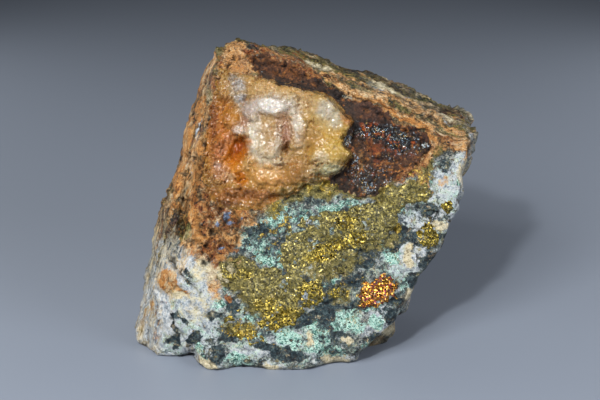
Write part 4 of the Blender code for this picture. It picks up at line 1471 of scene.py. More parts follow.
        # large breaks at the sides and the back, which fade towards the front's edge
        broken_off = broken * (1.0 - 0.6 * smooth(-8.0, -3.0, places[:, 2]))
        height += where_shown(broken_off, bent, lambda at: packed_blocks(at, self.broken_blocks))
        height += where_shown(broken, bent, lambda at: packed_blocks(at, self.broken_grains))
        bulge = self.swell_mm * patch_cover(places, self.swells)
        height += bulge + self.shave_mm * patch_cover(places, self.shaves)
        up = places[:, 1]
        height += self.left_edge_mm * left * smooth(24.0, 42.0, up) * smooth(83.0, 76.0, up)
        facing = smooth(0.0, 0.2, normals @ FACE.axes()[2])
        for half_width, rise, line in self.folds:
            reach = line_distance(warped(places, 1.2, 3.0, 63), line)
            height += rise * facing * smooth(1.5 * half_width, 0.1, reach)
        return height + self.pit_mm * self.pitting(places, facing)

    def pitting(self, places: Array, facing: Array) -> Array:
        """Says how surely each place on the face lies in a pit, from 0 to 1."""
        cover = patch_cover(warped(places, 0.9, 1.3, 61), self.pits)
        return facing * cover * smooth(-0.35, 0.1, fractal(places, 0.9, 62, 2))

    def foliation(self, points: Array) -> list[Array]:
        """Shortens places along the rind's grain, so that noise comes out in streaks.

        Args:
            points: places in mm.

        Returns:
            The shortened places for the rind on top, and those for the rind at the left.
        """
        bent = warped(warped(points, 1.6, 9.0, 40), 0.7, 3.0, 41)
        shortened = []
        for grain, stretch in zip(self.rind_grain, self.rind_stretches):
            along = (bent @ np.array(grain))[:, None] * np.array(grain) / np.linalg.norm(grain) ** 2
            shortened.append(bent - (1.0 - stretch) * along)
        return shortened

    def sides(self, places: Array, normals: Array) -> tuple[Array, Array, Array, Array]:
        """Shares each place out between the front face, the rind on top and at the left, and broken sides.

        Args:
            places: places on the face in mm.
            normals: the surface's normals there.

        Returns:
            The four shares at each place, which add up to 1.
        """
        front = smooth(0.72, 0.9, normals @ FACE.axes()[2])
        top = smooth(0.3, 0.6, normals[:, 2]) * (1.0 - front)
        left = smooth(0.3, 0.6, -normals[:, 0]) * (1.0 - front) * (1.0 - top)
        broken = 1.0 - front - top - left
        above, aside = zip(*self.rind_left)
        upper = smooth(-1.0, 1.0, places[:, 1] - np.interp(places[:, 0], *zip(*self.rind_above)))
        outer = smooth(1.0, -1.0, places[:, 0] - np.interp(places[:, 1], aside, above)) * (1.0 - upper)
        return front * (1.0 - upper - outer), top + front * upper, left + front * outer, broken

    def add_zones(self, mesh: Mesh, normals: Array, heights: Array) -> None:
        """Stores how strongly each mineral and stain covers each vertex, and where painted shade darkens
        recesses and pits.

        Args:
            mesh: the rock's mesh.
            normals: its normals before the relief was added.
            heights: the relief's height at each vertex in mm.
        """
        points = read_points(mesh)
        flat = FACE.to_face(points)
        places = warped(warped(flat, 1.5, 4.5, 71), 1.0, 1.5, 75)
        front, top, left, broken = self.sides(places, normals)
        border = np.interp(places[:, 0], *zip(*self.rind_border))
        below = smooth(2.0, -2.0, places[:, 1] - border)
        low = front * below
        high = front - low
        # the front edge of the broken sides takes the minerals of the face beside it
        rim = 0.85 * broken * below * smooth(-14.0, -5.0, flat[:, 2])
        low, broken = low + rim, broken - rim
        foot = left * smooth(48.0, 28.0, places[:, 1])
        facing = smooth(0.0, 0.15, normals @ FACE.axes()[2])
        under = facing * smooth(-0.3, 0.2, inside_distance(places, GOETHITE_OUTLINE))
        for index, zone in enumerate(Zone):
            cover = np.zeros(len(points))
            for part, share in zip((low, high, top, left, broken, foot), ZONE_LEVELS.get(zone, ())):
                cover += part * share
            cover += (0.3 + 0.3 * broken) * fractal(points, 9.0, 80 + index) * (cover > 0.01)
            drawn = patch_cover(places, ZONE_PATCHES.get(zone, ()))
            for width, strength, line in ZONE_BANDS.get(zone, ()):
                band = smooth(1.6 * width, 0.3 * width, line_distance(places, line))
                drawn = np.maximum(drawn, strength * band)
            if zone is Zone.DARK:
                cover *= 1.0 - patch_cover(places, CLEAN_PALE)
            cover = np.maximum(cover, drawn * facing * ZONE_STRENGTHS.get(zone, ZONE_STRENGTH))
            cover += under * ((zone is Zone.RUST) - cover)
            add_layer(mesh, zone.value, np.clip(cover, 0.0, 1.0))
        streaked = self.foliation(points)
        on_top = (top > left)[:, None]
        add_layer(mesh, "grain", np.where(on_top, streaked[0], streaked[1]))
        add_layer(mesh, "bedded", (top + left) * smooth(0.1, 0.7, np.abs(top - left)))
        add_layer(mesh, "worn", 0.9 * high + top + 0.6 * left + 0.12 * low + 0.5 * broken)
        # painted shade: recesses of the relief and its pits are stored to be darkened in the colour
        hollow_shade = 0.85 * smooth(-0.05, -0.42, heights - relaxed_values(heights, read_edges(mesh), 12))
        pits = 0.85 * self.pitting(flat, facing)
        add_layer(mesh, "hollow_shade", np.maximum(hollow_shade, pits))

    def build(self) -> Piece:
        """Builds the rock and dresses it.

        Returns:
            The dressed piece.
        """
        mesh = self.filled_block()
        self.keep_outer_shell(mesh)
        points = read_points(mesh)
        base = points[:, 2] < 0.6 * self.voxel_mm
        smoothed = relaxed(points, read_edges(mesh), self.rounds)
        smoothed[base, 2] = points[base, 2]
        places = FACE.to_face(smoothed)
        bed = (inside_distance(places, QUARTZ_OUTLINE) > 0.4) & (places[:, 2] > self.quartz_bed_mm)
        places[bed, 2] = self.quartz_bed_mm
        write_points(mesh, FACE.to_world(places))
        self.refine(mesh)
        points = relaxed(read_points(mesh), read_edges(mesh), 2)
        write_points(mesh, points)
        normals = read_normals(mesh)
        heights = self.relief(points, normals)
        floor = smooth(0.3, 1.2, points[:, 2])
        points = points + normals * (heights * floor)[:, None]
        points[:, 2] = np.maximum(points[:, 2], 0.0)
        write_points(mesh, points)
        self.add_zones(mesh, normals, heights)
        material = HostRockFinish().material()
        return finish_piece("host_rock_skin", mesh, ("host_rock",), material)


# ---- the minerals on the front face ------------------------------------------------------------------


class RockSurface:
    """Measures how far the finished rock stands out at places on the front face."""

    # a ray starts this far out of the face and ends this far on
    start_mm: float = 30.0
    reach_mm: float = 45.0

    def __init__(self, rock: Piece) -> None:
        """Reads the rock's skin.

        Args:
            rock: the finished rock.
        """
        corners = [tuple(vertex.co) for vertex in rock.data.vertices]
        self.tree = BVHTree.FromPolygons(corners, [tuple(face.vertices) for face in rock.data.polygons])
        self.inward = Vector(-FACE.axes()[2])

    def heights(self, places: Array) -> Array:
        """Measures the rock's height at places on the face.

        Args:
            places: places on the face in mm.

        Returns:
            The heights in mm, and NOTHING where there is no rock.
        """
        starts = np.column_stack([places[:, :2], np.full(len(places), self.start_mm)])
        found = np.full(len(places), NOTHING)
        for index, start in enumerate(FACE.to_world(starts) * MM):
            spot, _, _, _ = self.tree.ray_cast(Vector(start), self.inward, self.reach_mm * MM)
            if spot is not None:
                found[index] = FACE.to_face(np.array(spot)[None] / MM)[0, 2]
        return found


@dataclass
class Crust:
    """A mineral that grows on the front face within an outline: the shape shared by all of them."""

    outline: tuple[Spot, ...]
    # the grid's spacing, how far it reaches past the outline, and how deep the crust goes into the rock
    step_mm: float = 0.2
    spill_mm: float = 1.2
    sink_mm: float = 1.2

    def grid(self) -> tuple[Array, Array]:
        """Lays an even grid over the outline.

        Returns:
            The places on the face in mm, with 0 out of it, and the grid's square faces.
        """
        corners = np.array(self.outline)
        low = corners.min(0) - self.spill_mm - self.step_mm
        high = corners.max(0) + self.spill_mm + self.step_mm
        columns, rows = np.ceil((high - low) / self.step_mm).astype(int)
        across, up = np.meshgrid(np.arange(columns), np.arange(rows), indexing="ij")
        places = [low[0] + across * self.step_mm, low[1] + up * self.step_mm, across * 0.0]
        places = np.stack(places, -1).reshape(-1, 3)
        within = (inside_distance(places, self.outline) > -self.spill_mm).reshape(columns, rows)
        full = within[:-1, :-1] & within[1:, :-1] & within[1:, 1:] & within[:-1, 1:]
        numbers = np.arange(columns * rows).reshape(columns, rows)
        square = [numbers[:-1, :-1], numbers[1:, :-1], numbers[1:, 1:], numbers[:-1, 1:]]
        square = np.stack(square, -1)[full]
        used = np.unique(square)
        return places[used], np.searchsorted(used, square)

    def closed(self, name: str, places: Array, squares: Array, ground: Array) -> Mesh:
        """Closes a relief into a solid with a second layer that lies inside the rock.

        Args:
            name: the mesh's name.
            places: the relief's places on the face in mm.
            squares: its faces.
            ground: the rock's height at each place in mm.

        Returns:
            The mesh, with the relief's vertices first and the inner layer's after them.
        """
        edges = square_edges(squares)
        known = {tuple(edge) for edge in edges.tolist()}
        count = len(places)
        walls = [(b, a, a + count, b + count) for a, b in known if (b, a) not in known]
        inner = places.copy()
        inner[:, 2] = np.minimum(places[:, 2], ground) - self.sink_mm
        faces = squares.tolist() + (squares[:, ::-1] + count).tolist() + walls
        return new_mesh(name, FACE.to_world(np.vstack([places, inner])), faces)


@dataclass
class QuartzCluster(Crust):
    """Blocky quartz crystals, grown together over a bed of smaller ones."""

    outline: tuple[Spot, ...] = QUARTZ_OUTLINE
    step_mm: float = 0.18
    # how far each crystal grows into the next
    overlap: float = 1.12
    # how far the mass between the crystals lies behind their tops, and how round the creases are between
    # crystals and where they meet the bed
    recess_mm: float = 0.95
    crease_mm: float = 0.18
    bed_crease_mm: float = 0.8
    highest_mm: float = 7.8
    # small crystals: share of their height, mean width in mm, seed and lean of each packing
    sugar: tuple[Packing, ...] = ((0.5, 2.2, 122, 1.1), (0.5, 1.1, 123, 1.1))
    fine_sugar: tuple[Packing, ...] = ((1.0, 0.6, 124, 1.0),)
    large_faces: tuple[Packing, ...] = ((0.42, 3.4, 126, 1.0), (0.42, 1.6, 129, 1.0))
    # across, up, radius and depth in mm
    hollows: tuple[Patch, ...] = (
        (-15.9, 56.4, 2.1, 2.2), (-14.9, 49.6, 1.2, 1.5), (-3.6, 57, 0.7, 1.5), (2, 56.6, 0.8, 1),
        (4.4, 50.4, 0.9, 1.4), (-13.6, 69.4, 0.8, 0.8),
    )
    # across, up, how far the top stands out, half width, half length in mm, turn in degrees
    blocks: tuple[Patch, ...] = (
        (7, 65.8, 6.2, 5.8, 4.9, -20), (7.8, 56.6, 6, 5.4, 3.8, -8), (11.6, 63, 4.4, 2.6, 2.6, 20),
        (2.6, 59.4, 5.2, 3, 3, 0), (-7.2, 67.7, 7, 3.9, 2.1, -4), (-2.6, 69, 6.4, 2.4, 2.2, 0),
        (-12.5, 66.4, 5.6, 2.4, 2.4, 10), (-8.4, 58.8, 6.3, 4.6, 5.6, 0), (-3.9, 61.6, 5.9, 1.7, 3.4, 4),
        (-8, 53.8, 6, 3.6, 1.9, 0), (-8.7, 49.9, 5, 3.9, 2.3, -4), (-1, 51.2, 5, 2.7, 3.3, 5),
        (2.8, 50.2, 4, 1.9, 2.4, 14), (7.4, 52, 4.2, 3.6, 1.7, 10), (-15.2, 50.8, 3.4, 2, 1.8, 20),
        (-20.2, 56.8, 2.4, 2.2, 4, -14), (-20.4, 50.2, 2, 2.4, 2.4, 20),
        (-17.4, 64.8, 4.6, 2.2, 2.4, -8), (-18.6, 60.2, 3.4, 1.3, 3, -30), (-20.8, 65, 2, 1.8, 3.6, 8),
        (-15.5, 61.8, 5.2, 1.3, 1.4, 45), (-12.9, 54.2, 4.2, 1.6, 1.4, 20),
        (-8.6, 72.4, 4.7, 3.5, 2.4, -10), (-2.4, 71.2, 4.9, 3.1, 2.2, -16),
        (3.4, 69.8, 4.9, 3.1, 2, -22), (-15.6, 71.4, 4, 2.6, 3.4, 15), (-19.2, 72.4, 3.2, 1.6, 3.4, 8),
        (-13.6, 75, 3.4, 2.2, 1.2, -10), (-17.6, 46.8, 2.3, 1.9, 1.5, 10),
        (-12.6, 47.2, 3.2, 1.7, 1.3, -12), (-9.8, 45.4, 2.5, 1.5, 1.1, 8),
        (-6.2, 46.8, 3.3, 1.9, 1.2, 6), (-2.6, 46.6, 2.7, 1.3, 1.2, -10), (0.8, 47.4, 3, 1.5, 1.2, 14),
        (4.6, 48, 2.8, 1.3, 1.1, 24),
    )
    # half width and how far the top stands out in mm, then the line a curved crystal follows
    arms: tuple[Line, ...] = (
        (2, 6.3, ((-1.4, 65.4), (0.2, 63.4), (0, 60.6), (-1.2, 58.2))),
        (1.2, 5.9, ((-6.6, 62.4), (-5.6, 60), (-5.2, 56.8))),
    )
    # the clear and milky crystals with larger faces; everything else is sugary
    clear: tuple[Patch, ...] = (
        (-7.2, 67.6, 4.2, 2.2, -4, 1), (-12.5, 66.4, 2.4, 2.2, 0, 0.8), (-0.4, 62.2, 2, 5, 8, 1),
        (-8.2, 58.4, 5.4, 6.2, 0, 1), (6.8, 65.2, 5.8, 4.4, -20, 0.9), (7.4, 57, 5.4, 3.8, -8, 0.8),
        (2.6, 59.4, 2.6, 2.6, 0, 0.7), (-8.7, 49.8, 4.2, 2.4, -4, 0.9), (-1, 51.2, 2.6, 3.2, 5, 0.8),
        (-16, 55, 2.6, 4, -20, 0.9), (-20.2, 56.8, 1.8, 3, -14, 0.5), (-17.4, 64.8, 2.2, 2.4, -8, 0.7),
    )
    honey: str = "#B8924E"
    streak: str = "#7A3A14"
    stains: tuple[Stain, ...] = (
        (-4, 62, 9, 9, 0, 0.5, "#BCA37A"), (-5, 73.2, 9, 2.8, -15, 0.95, "#D2AE74"),
        (-7, 71.2, 6, 1.4, -12, 0.7, "#D6B988"), (-15.7, 71.1, 2.6, 5.2, 10, 0.9, "#B09E82"),
        (-15.6, 73.2, 1.3, 1.3, 0, 0.9, "#BABABC"), (-15, 69.6, 1.2, 1.2, 0, 0.9, "#B4B6BC"),
        (-17.4, 75.2, 1.2, 0.9, 0, 0.8, "#AEACAA"), (-19.4, 72, 1.3, 4.4, 10, 0.8, "#BE9A62"),
        (-20.6, 60.5, 3.6, 8.4, -4, 1, "#CC8640"), (-22.4, 66, 1.4, 6, 4, 0.8, "#8E5A38"),
        (-18.4, 58.2, 1.2, 4.4, -25, 0.7, "#C98A60"), (-20.8, 56, 1.8, 3, -20, 0.7, "#C88A62"),
        (-17.2, 64.8, 2.3, 2.6, 0, 0.95, "#BC8438"), (-13.8, 63.6, 1.4, 1.6, 0, 0.7, "#A07464"),
        (-12.4, 66.6, 2.4, 2.3, 10, 0.95, "#B4A8A4"), (-4.6, 69.2, 5.4, 1.8, -8, 0.8, "#CFC0A4"),
        (-7.4, 67.7, 4.2, 2.2, -4, 1, "#E2E1E0"), (-2.6, 67.2, 2.4, 1.6, 0, 0.9, "#D2CCC2"),
        (-8.4, 59.6, 3.6, 4.4, 0, 0.9, "#BCA17A"), (-3.9, 61, 1.7, 3.8, 0, 0.95, "#A8806A"),
        (-4.6, 64.6, 2, 1, 0, 0.7, "#AE8A6A"), (-0.2, 62, 1.6, 4.4, 8, 1, "#E2DED6"),
        (-12, 60.4, 1.7, 4, -8, 1, "#DAD5C6"), (-10.6, 55.6, 1.8, 3, -5, 0.95, "#D8D0BC"),
        (-5.6, 58.6, 0.9, 4.4, -8, 0.85, "#CABEAC"), (-8, 53.7, 3.8, 1.8, 0, 0.9, "#CCC0A6"),
        # the dark brown stain at (-3.6, 57) is painted shade in a pit
        (-8.6, 56.8, 1.6, 1.6, 0, 0.8, "#C2AC88"), (-3.6, 57, 0.9, 1.4, 20, 0.8, "#6E4624"),
        (7.6, 64.8, 6.6, 5.4, -15, 0.85, "#C8AA66"), (7, 66.2, 4.2, 3.4, -30, 0.7, "#CCB682"),
        (6.6, 66.8, 2.2, 2, 0, 0.9, "#D2CCBC"), (9, 64.2, 1.8, 2.2, -20, 0.8, "#CFC8B4"),
        (2.2, 68.4, 1.8, 2.6, 20, 0.7, "#D0B488"), (12.4, 64.6, 1.6, 2.2, 35, 0.85, "#BC8242"),
        (11, 60.8, 2.4, 1.4, 20, 0.7, "#C6A454"), (7.4, 57.2, 5.8, 3.8, 0, 0.9, "#CCAA54"),
        (9.6, 56, 3, 2.6, 0, 0.6, "#CCB060"), (5.4, 54.6, 2.2, 1.4, 0, 0.8, "#CEC0A0"),
        (2.6, 59, 3, 2.8, 0, 0.85, "#B8904E"), (2.2, 61.6, 2, 1.2, 10, 0.6, "#BE9A62"),
        (7.6, 51.6, 3.6, 1.6, 0, 0.9, "#B8BC9C"), (-8.2, 49.8, 5, 2.6, -4, 0.95, "#D09C54"),
        (-7.4, 50.8, 3.2, 1.4, -4, 0.85, "#DAB278"), (-4.4, 48.6, 2.2, 1, -4, 0.7, "#D29A56"),
        (-0.8, 51.2, 2.6, 3.4, 5, 0.9, "#A87A3C"), (-0.4, 53.2, 1.6, 0.9, 0, 0.6, "#C6A068"),
        # the dark olive stain at (4.4, 50.4) is painted shade in a pit
        (2.8, 49.8, 2.2, 2.4, 0, 0.9, "#B0966A"), (4.4, 50.4, 0.9, 1.1, 0, 0.9, "#5A5430"),
        (-17.4, 53.2, 2.6, 2.2, -30, 0.95, "#D89030"), (-15.8, 56.6, 2.4, 3.4, -30, 1, "#C87412"),
        (-15.8, 57.4, 1.3, 1.8, -30, 0.9, "#A44E06"), (-15.1, 49.4, 1.8, 2.3, 8, 1, "#CC7C12"),
        # the near-white stain at (-15.5, 61.8) is a painted highlight on a small crystal
        (-12.9, 53.2, 1.6, 1.8, 0, 0.8, "#CEA264"), (-15.5, 61.8, 1.2, 1.3, 45, 1, "#F0E2DC"),
        (-20.2, 50.6, 2.4, 2.4, 0, 0.85, "#C8946C"), (-20.8, 52.6, 0.9, 1, 0, 0.8, "#E0C4B8"),
        (-18.2, 49.4, 1.4, 1.4, 0, 0.7, "#D4B088"), (-22.6, 47.4, 1.8, 2.4, 0, 0.8, "#A8834E"),
        (-14, 45, 9.6, 1.9, -3, 0.95, "#AA703A"), (-11, 43, 4, 1.2, 4, 0.85, "#B4854C"),
        (-12.4, 45.6, 2.8, 0.8, -10, 0.7, "#BC8456"), (-19, 43, 3, 1.2, -4, 0.8, "#6A3A20"),
        (-3.4, 46, 2.6, 1.4, 30, 0.8, "#8C7A48"), (1.4, 47.4, 2.4, 1, 0, 0.8, "#7E7444"),
    )

    def block_heights(self, places: Array) -> tuple[Array, Array, Array]:
        """Works out how far the crystals stand out at each place.

        Args:
            places: places on the face in mm.

        Returns:
            The height of the tallest crystal in mm, the height of the mass between the crystals, and how
            surely that mass is there, from 0 to 1.
        """
        tallest = np.full(len(places), NOTHING)
        weights = np.full(len(places), 1e-6)
        mass = np.zeros(len(places))
        bent = warped(warped(places, 0.7, 2.4, 101), 0.3, 0.9, 105)
        for index, (across, up, top, half_width, half_length, turn) in enumerate(self.blocks):
            angle = math.radians(turn)
            aside = bent[:, 0] - across
            above = bent[:, 1] - up
            x = (aside * math.cos(angle) + above * math.sin(angle)) / (half_width * self.overlap)
            y = (above * math.cos(angle) - aside * math.sin(angle)) / (half_length * self.overlap)
            weight = np.exp(-(x * x + y * y) / 1.2)
            weights += weight
            mass += weight * (top - self.recess_mm)
            *sides, tip = cell_randoms(np.array([[index, side, 3] for side in (*range(6), 7)]), 5)
            width = min(half_width, half_length)
            reach = np.zeros(len(places))
            for side, chance in enumerate(sides):
                lean = math.radians(60.0 * side + 36.0 * chance[0])
                out = x * math.cos(lean) + y * math.sin(lean)
                reach = np.maximum(reach, out / (0.8 + 0.22 * chance[1]))
            tilt = 0.9 * width * ((tip[0] - 0.5) * x + (tip[1] - 0.5) * y)
            side_drop = np.maximum(reach - 0.7, 0.0)
            block = top + tilt - 0.22 * width * reach**2 - width * (0.8 * side_drop + 3.0 * side_drop**2)
            tallest = joined_tops(tallest, block, self.crease_mm)
        for half_width, top, line in self.arms:
            reach = line_distance(bent, line) / half_width
            side_drop = np.maximum(reach - 0.6, 0.0)
            arm = top - 0.25 * half_width * reach**2 - half_width * (0.8 * side_drop + 2.6 * side_drop**2)
            tallest = joined_tops(tallest, arm, self.crease_mm)
        return tallest, mass / weights, smooth(0.15, 0.7, weights)

    def build(self, surface: RockSurface) -> Piece:
        """Builds the crystals over the rock and dresses them.

        Args:
            surface: the rock's surface.

        Returns:
            The dressed piece.
        """
        places, squares = self.grid()
        ground = surface.heights(places)
        inside = inside_distance(warped(places, 0.9, 3.0, 111), self.outline)
        # the bed of small crystals thins out at the outline, and the large ones sink away there
        bed = np.maximum(ground, -1.0) + 0.9 * smooth(-0.2, 1.4, inside) - 1.2 * smooth(0.0, -0.8, inside)
        crystals, mass, sure = self.block_heights(places)
        edges = square_edges(squares)
        crystals = relaxed_values(crystals, edges, 2)
        crystals += 0.16 * sure * (mass + self.recess_mm - 0.2 - crystals)
        crystals -= 5.0 * smooth(0.8, -1.0, inside)
        reach = 1.4 + 3.0 * smooth(-6.0, -17.0, places[:, 0]) + 3.4 * smooth(54.0, 44.0, places[:, 1])
        bed += (mass - bed) * sure * smooth(0.0, 1.0, inside / reach)
        for across, up, radius, depth in self.hollows:
            gap = (places[:, 0] - across) ** 2 + (places[:, 1] - up) ** 2
            bed -= depth * np.exp(-gap / radius**2)
            crystals -= 0.8 * depth * np.exp(-gap / radius**2)
        height = joined_tops(bed, crystals, self.bed_crease_mm)
        # sugary quartz all over, but larger faces on the clear crystals, and fibres at the left
        bent = warped(places, 0.35, 1.2, 121)
        calm = patch_cover(warped(places, 0.8, 2.0, 128), self.clear, 0.25)
        sugary = 1.0 - calm
        height += sugary * packed_blocks(bent, self.sugar)
        height += (0.3 * sugary + 0.3) * packed_blocks(bent, self.fine_sugar)
        height += calm * packed_blocks(bent, self.large_faces)
        left = smooth(-16.5, -19.5, places[:, 0]) * smooth(46.0, 49.0, places[:, 1])
        fibre = np.column_stack([places[:, :2] @ np.array([(0.9, 0.12), (-0.42, 0.2)]), places[:, 2]])
        height += left * 0.35 * ridges(fibre, 0.9, 127)
        height = np.maximum(height, np.minimum(ground, 3.0) + 0.35 - 1.4 * smooth(0.5, -0.6, inside))
        height = np.minimum(height, self.highest_mm)
        places[:, 2] = height
        mesh = self.closed("quartz_crystals", places, squares, ground)
        ragged = warped(warped(places, 1.1, 2.4, 131), 0.6, 0.9, 135)
        colours = painted(ragged, self.honey, self.stains, 0.6)
        streak = left * smooth(-0.2, 0.5, waves(fibre, 0.7, 137))
        colours = tinted(colours, 0.4 * streak, self.streak)
        # painted shade in the creases between crystals; a real rust stain along the foot joins it below
        crease_shade_and_rust = 0.6 * smooth(-0.05, -0.42, height - relaxed_values(height, edges, 9))
        rusty = smooth(0.2, 0.6, fractal(places, 1.4, 138)) * smooth(49.0, 45.0, places[:, 1])
        add_layer(mesh, "clear", calm)
        add_layer(mesh, "stain", colours)
        add_layer(mesh, "crease_shade_and_rust", np.maximum(crease_shade_and_rust, 0.8 * rusty))
        material = QuartzFinish().material()
        return finish_piece("quartz_crystals", mesh, ("quartz_cluster",), material)


@dataclass
class GoethiteCrust(Crust):
    """The dark iron-oxide crust that lines the recess round the quartz, with painted shade in its low
    spots.
    """

    outline: tuple[Spot, ...] = GOETHITE_OUTLINE
    # how deep it may lie, and its crumbs: share of their height, mean width in mm and seed of each packing
    lowest_mm: float = -6.0
    blocks: tuple[Packing, ...] = ((0.6, 2.2, 143), (0.55, 1.1, 144), (0.5, 0.5, 145))
    brown: str = "#3F2B1C"
    stains: tuple[Stain, ...] = (
        (-6, 78.6, 8, 2.8, -18, 0.9, "#7A4A26"), (-10, 79.6, 2, 1.6, 0, 0.8, "#3A261A"),
        (-1.6, 76.4, 2.2, 1, -20, 0.8, "#8E582C"), (-6.4, 77.4, 1.8, 0.8, -20, 0.8, "#4A2C1C"),
        (-7.4, 80, 1.6, 0.7, -20, 0.7, "#8A5A30"), (2.5, 74.8, 3, 2, -35, 0.7, "#5A3A28"),
        (9, 71.6, 4, 2, -20, 0.8, "#352821"), (13.5, 68.2, 3, 2.5, 0, 0.8, "#463A32"),
        (18.8, 66.8, 5, 3, -10, 0.8, "#664332"), (25.5, 64, 3, 2.4, -30, 0.8, "#583424"),
        (30, 61, 3, 2.4, 0, 0.8, "#5C3220"), (19.6, 61.4, 7, 2.8, -4, 0.9, "#1D1614"),
        (26, 59, 5, 3.2, 0, 0.9, "#191312"), (16, 55, 2.8, 3.6, 0, 0.8, "#664429"),
        (23.6, 55.6, 4.4, 2.4, 0, 0.8, "#482516"), (19.6, 57, 2.4, 1.8, 0, 0.85, "#94481A"),
        (24.4, 52.6, 4.6, 1.4, 12, 0.7, "#8A5A30"), (17.2, 60.4, 1, 1.9, 0, 0.9, "#A8501C"),
        (15.9, 53.6, 0.8, 2.6, 5, 0.85, "#A9824F"), (22, 51.6, 4, 2.2, 10, 0.8, "#5A3824"),
        (28.6, 55, 2.8, 2, 0, 0.7, "#6C4630"), (17.5, 48.6, 4, 2.4, 0, 0.8, "#403A36"),
        (10.4, 56, 2, 3.4, 0, 0.7, "#463830"), (11.6, 62, 1.6, 2.6, 0, 0.7, "#3A3230"),
    )
    glaze: tuple[Patch, ...] = (
        (19.6, 61.4, 7, 2.8, -4, 1), (26, 58.8, 5, 3.4, 0, 1), (16, 50, 4, 4, 0, 0.7),
        (23, 53, 5, 3, 0, 0.5),
    )
    # where crumbs of tan and orange limonite lie on the crust
    crumbs: tuple[Patch, ...] = (
        (16.4, 54, 4, 5, 0, 0.9), (24, 51, 7, 3, 14, 1.2), (28.6, 55.6, 3.4, 2.6, 0, 0.8),
        (18, 47.6, 4, 2.4, 0, 0.8), (30.6, 60.6, 3, 1.4, -20, 0.7), (-6, 78.2, 7, 2, -18, 0.5),
        (17, 60.4, 1.4, 2, 0, 0.9),
    )
    # where small flat faces glint
    glint: tuple[Patch, ...] = (
        (20.6, 61.9, 2.6, 0.8, -8, 0.8), (26, 60.2, 0.8, 1.1, 0, 0.75), (12.2, 59.2, 1.2, 1.6, -30, 0.7),
        (32, 58, 0.8, 0.8, 0, 0.85), (14.2, 54.8, 0.8, 0.7, 0, 0.8), (17.4, 47.6, 2.2, 2.2, 20, 0.6),
        (22.6, 48.6, 1.6, 1, 20, 0.6), (29.4, 57.6, 3, 2.4, 0, 0.4), (14.2, 51, 1.6, 3, 0, 0.45),
        (-1, 77.6, 1.4, 1, -20, 0.3),
    )

    def build(self, surface: RockSurface) -> Piece:
        """Builds the crust over the rock and dresses it.

        Args:
            surface: the rock's surface.

        Returns:
            The dressed piece.
        """
        places, squares = self.grid()
        ground = surface.heights(places)
        inside = inside_distance(warped(places, 1.8, 2.6, 141), self.outline)
        inside += 0.5 * waves(places, 1.0, 140)
        bent = warped(places, 0.3, 1.2, 142)
        height = np.maximum(ground, self.lowest_mm) - 0.7 + 1.35 * smooth(-0.9, 0.6, inside)
        height += packed_blocks(bent, self.blocks)
        places[:, 2] = height
        mesh = self.closed("goethite_lining", places, squares, ground)
        edges = square_edges(squares)
        # painted shade in the crust's low spots
        hollow_shade = 0.95 * smooth(-0.04, -0.34, height - relaxed_values(height, edges, 10))
        ragged = warped(warped(places, 1.2, 2.4, 151), 0.5, 0.8, 154)
        colours = painted(ragged, self.brown, self.stains)
        glassy = patch_cover(ragged, self.glaze)
        mottles = (
            ("#14100F", 0.95 * glassy * smooth(-0.3, 0.05, fractal(places, 2.2, 155))),
            ("#AE5218", 0.95 * glassy * smooth(0.12, 0.3, fractal(places, 1.7, 156))),
            ("#C8843E", patch_cover(ragged, self.crumbs) * smooth(0.1, 0.3, fractal(places, 1.1, 157))),
            ("#96602F", 0.8 * (1.0 - glassy) * smooth(0.1, 0.4, fractal(places, 1.3, 158))),
            ("#1C1310", 0.85 * smooth(0.16, 0.34, fractal(places, 0.9, 159))),
        )
        for code, share in mottles:
            colours = tinted(colours, share, code)
        add_layer(mesh, "stain", colours)
        add_layer(mesh, "rough", 0.75 - 0.55 * glassy)
        add_layer(mesh, "glint", np.maximum(0.8 * patch_cover(ragged, self.glint), 0.17 + 0.16 * glassy))
        add_layer(mesh, "hollow_shade", hollow_shade)
        material = GoethiteFinish().material()
        return finish_piece("goethite_lining", mesh, ("goethite_crust",), material)


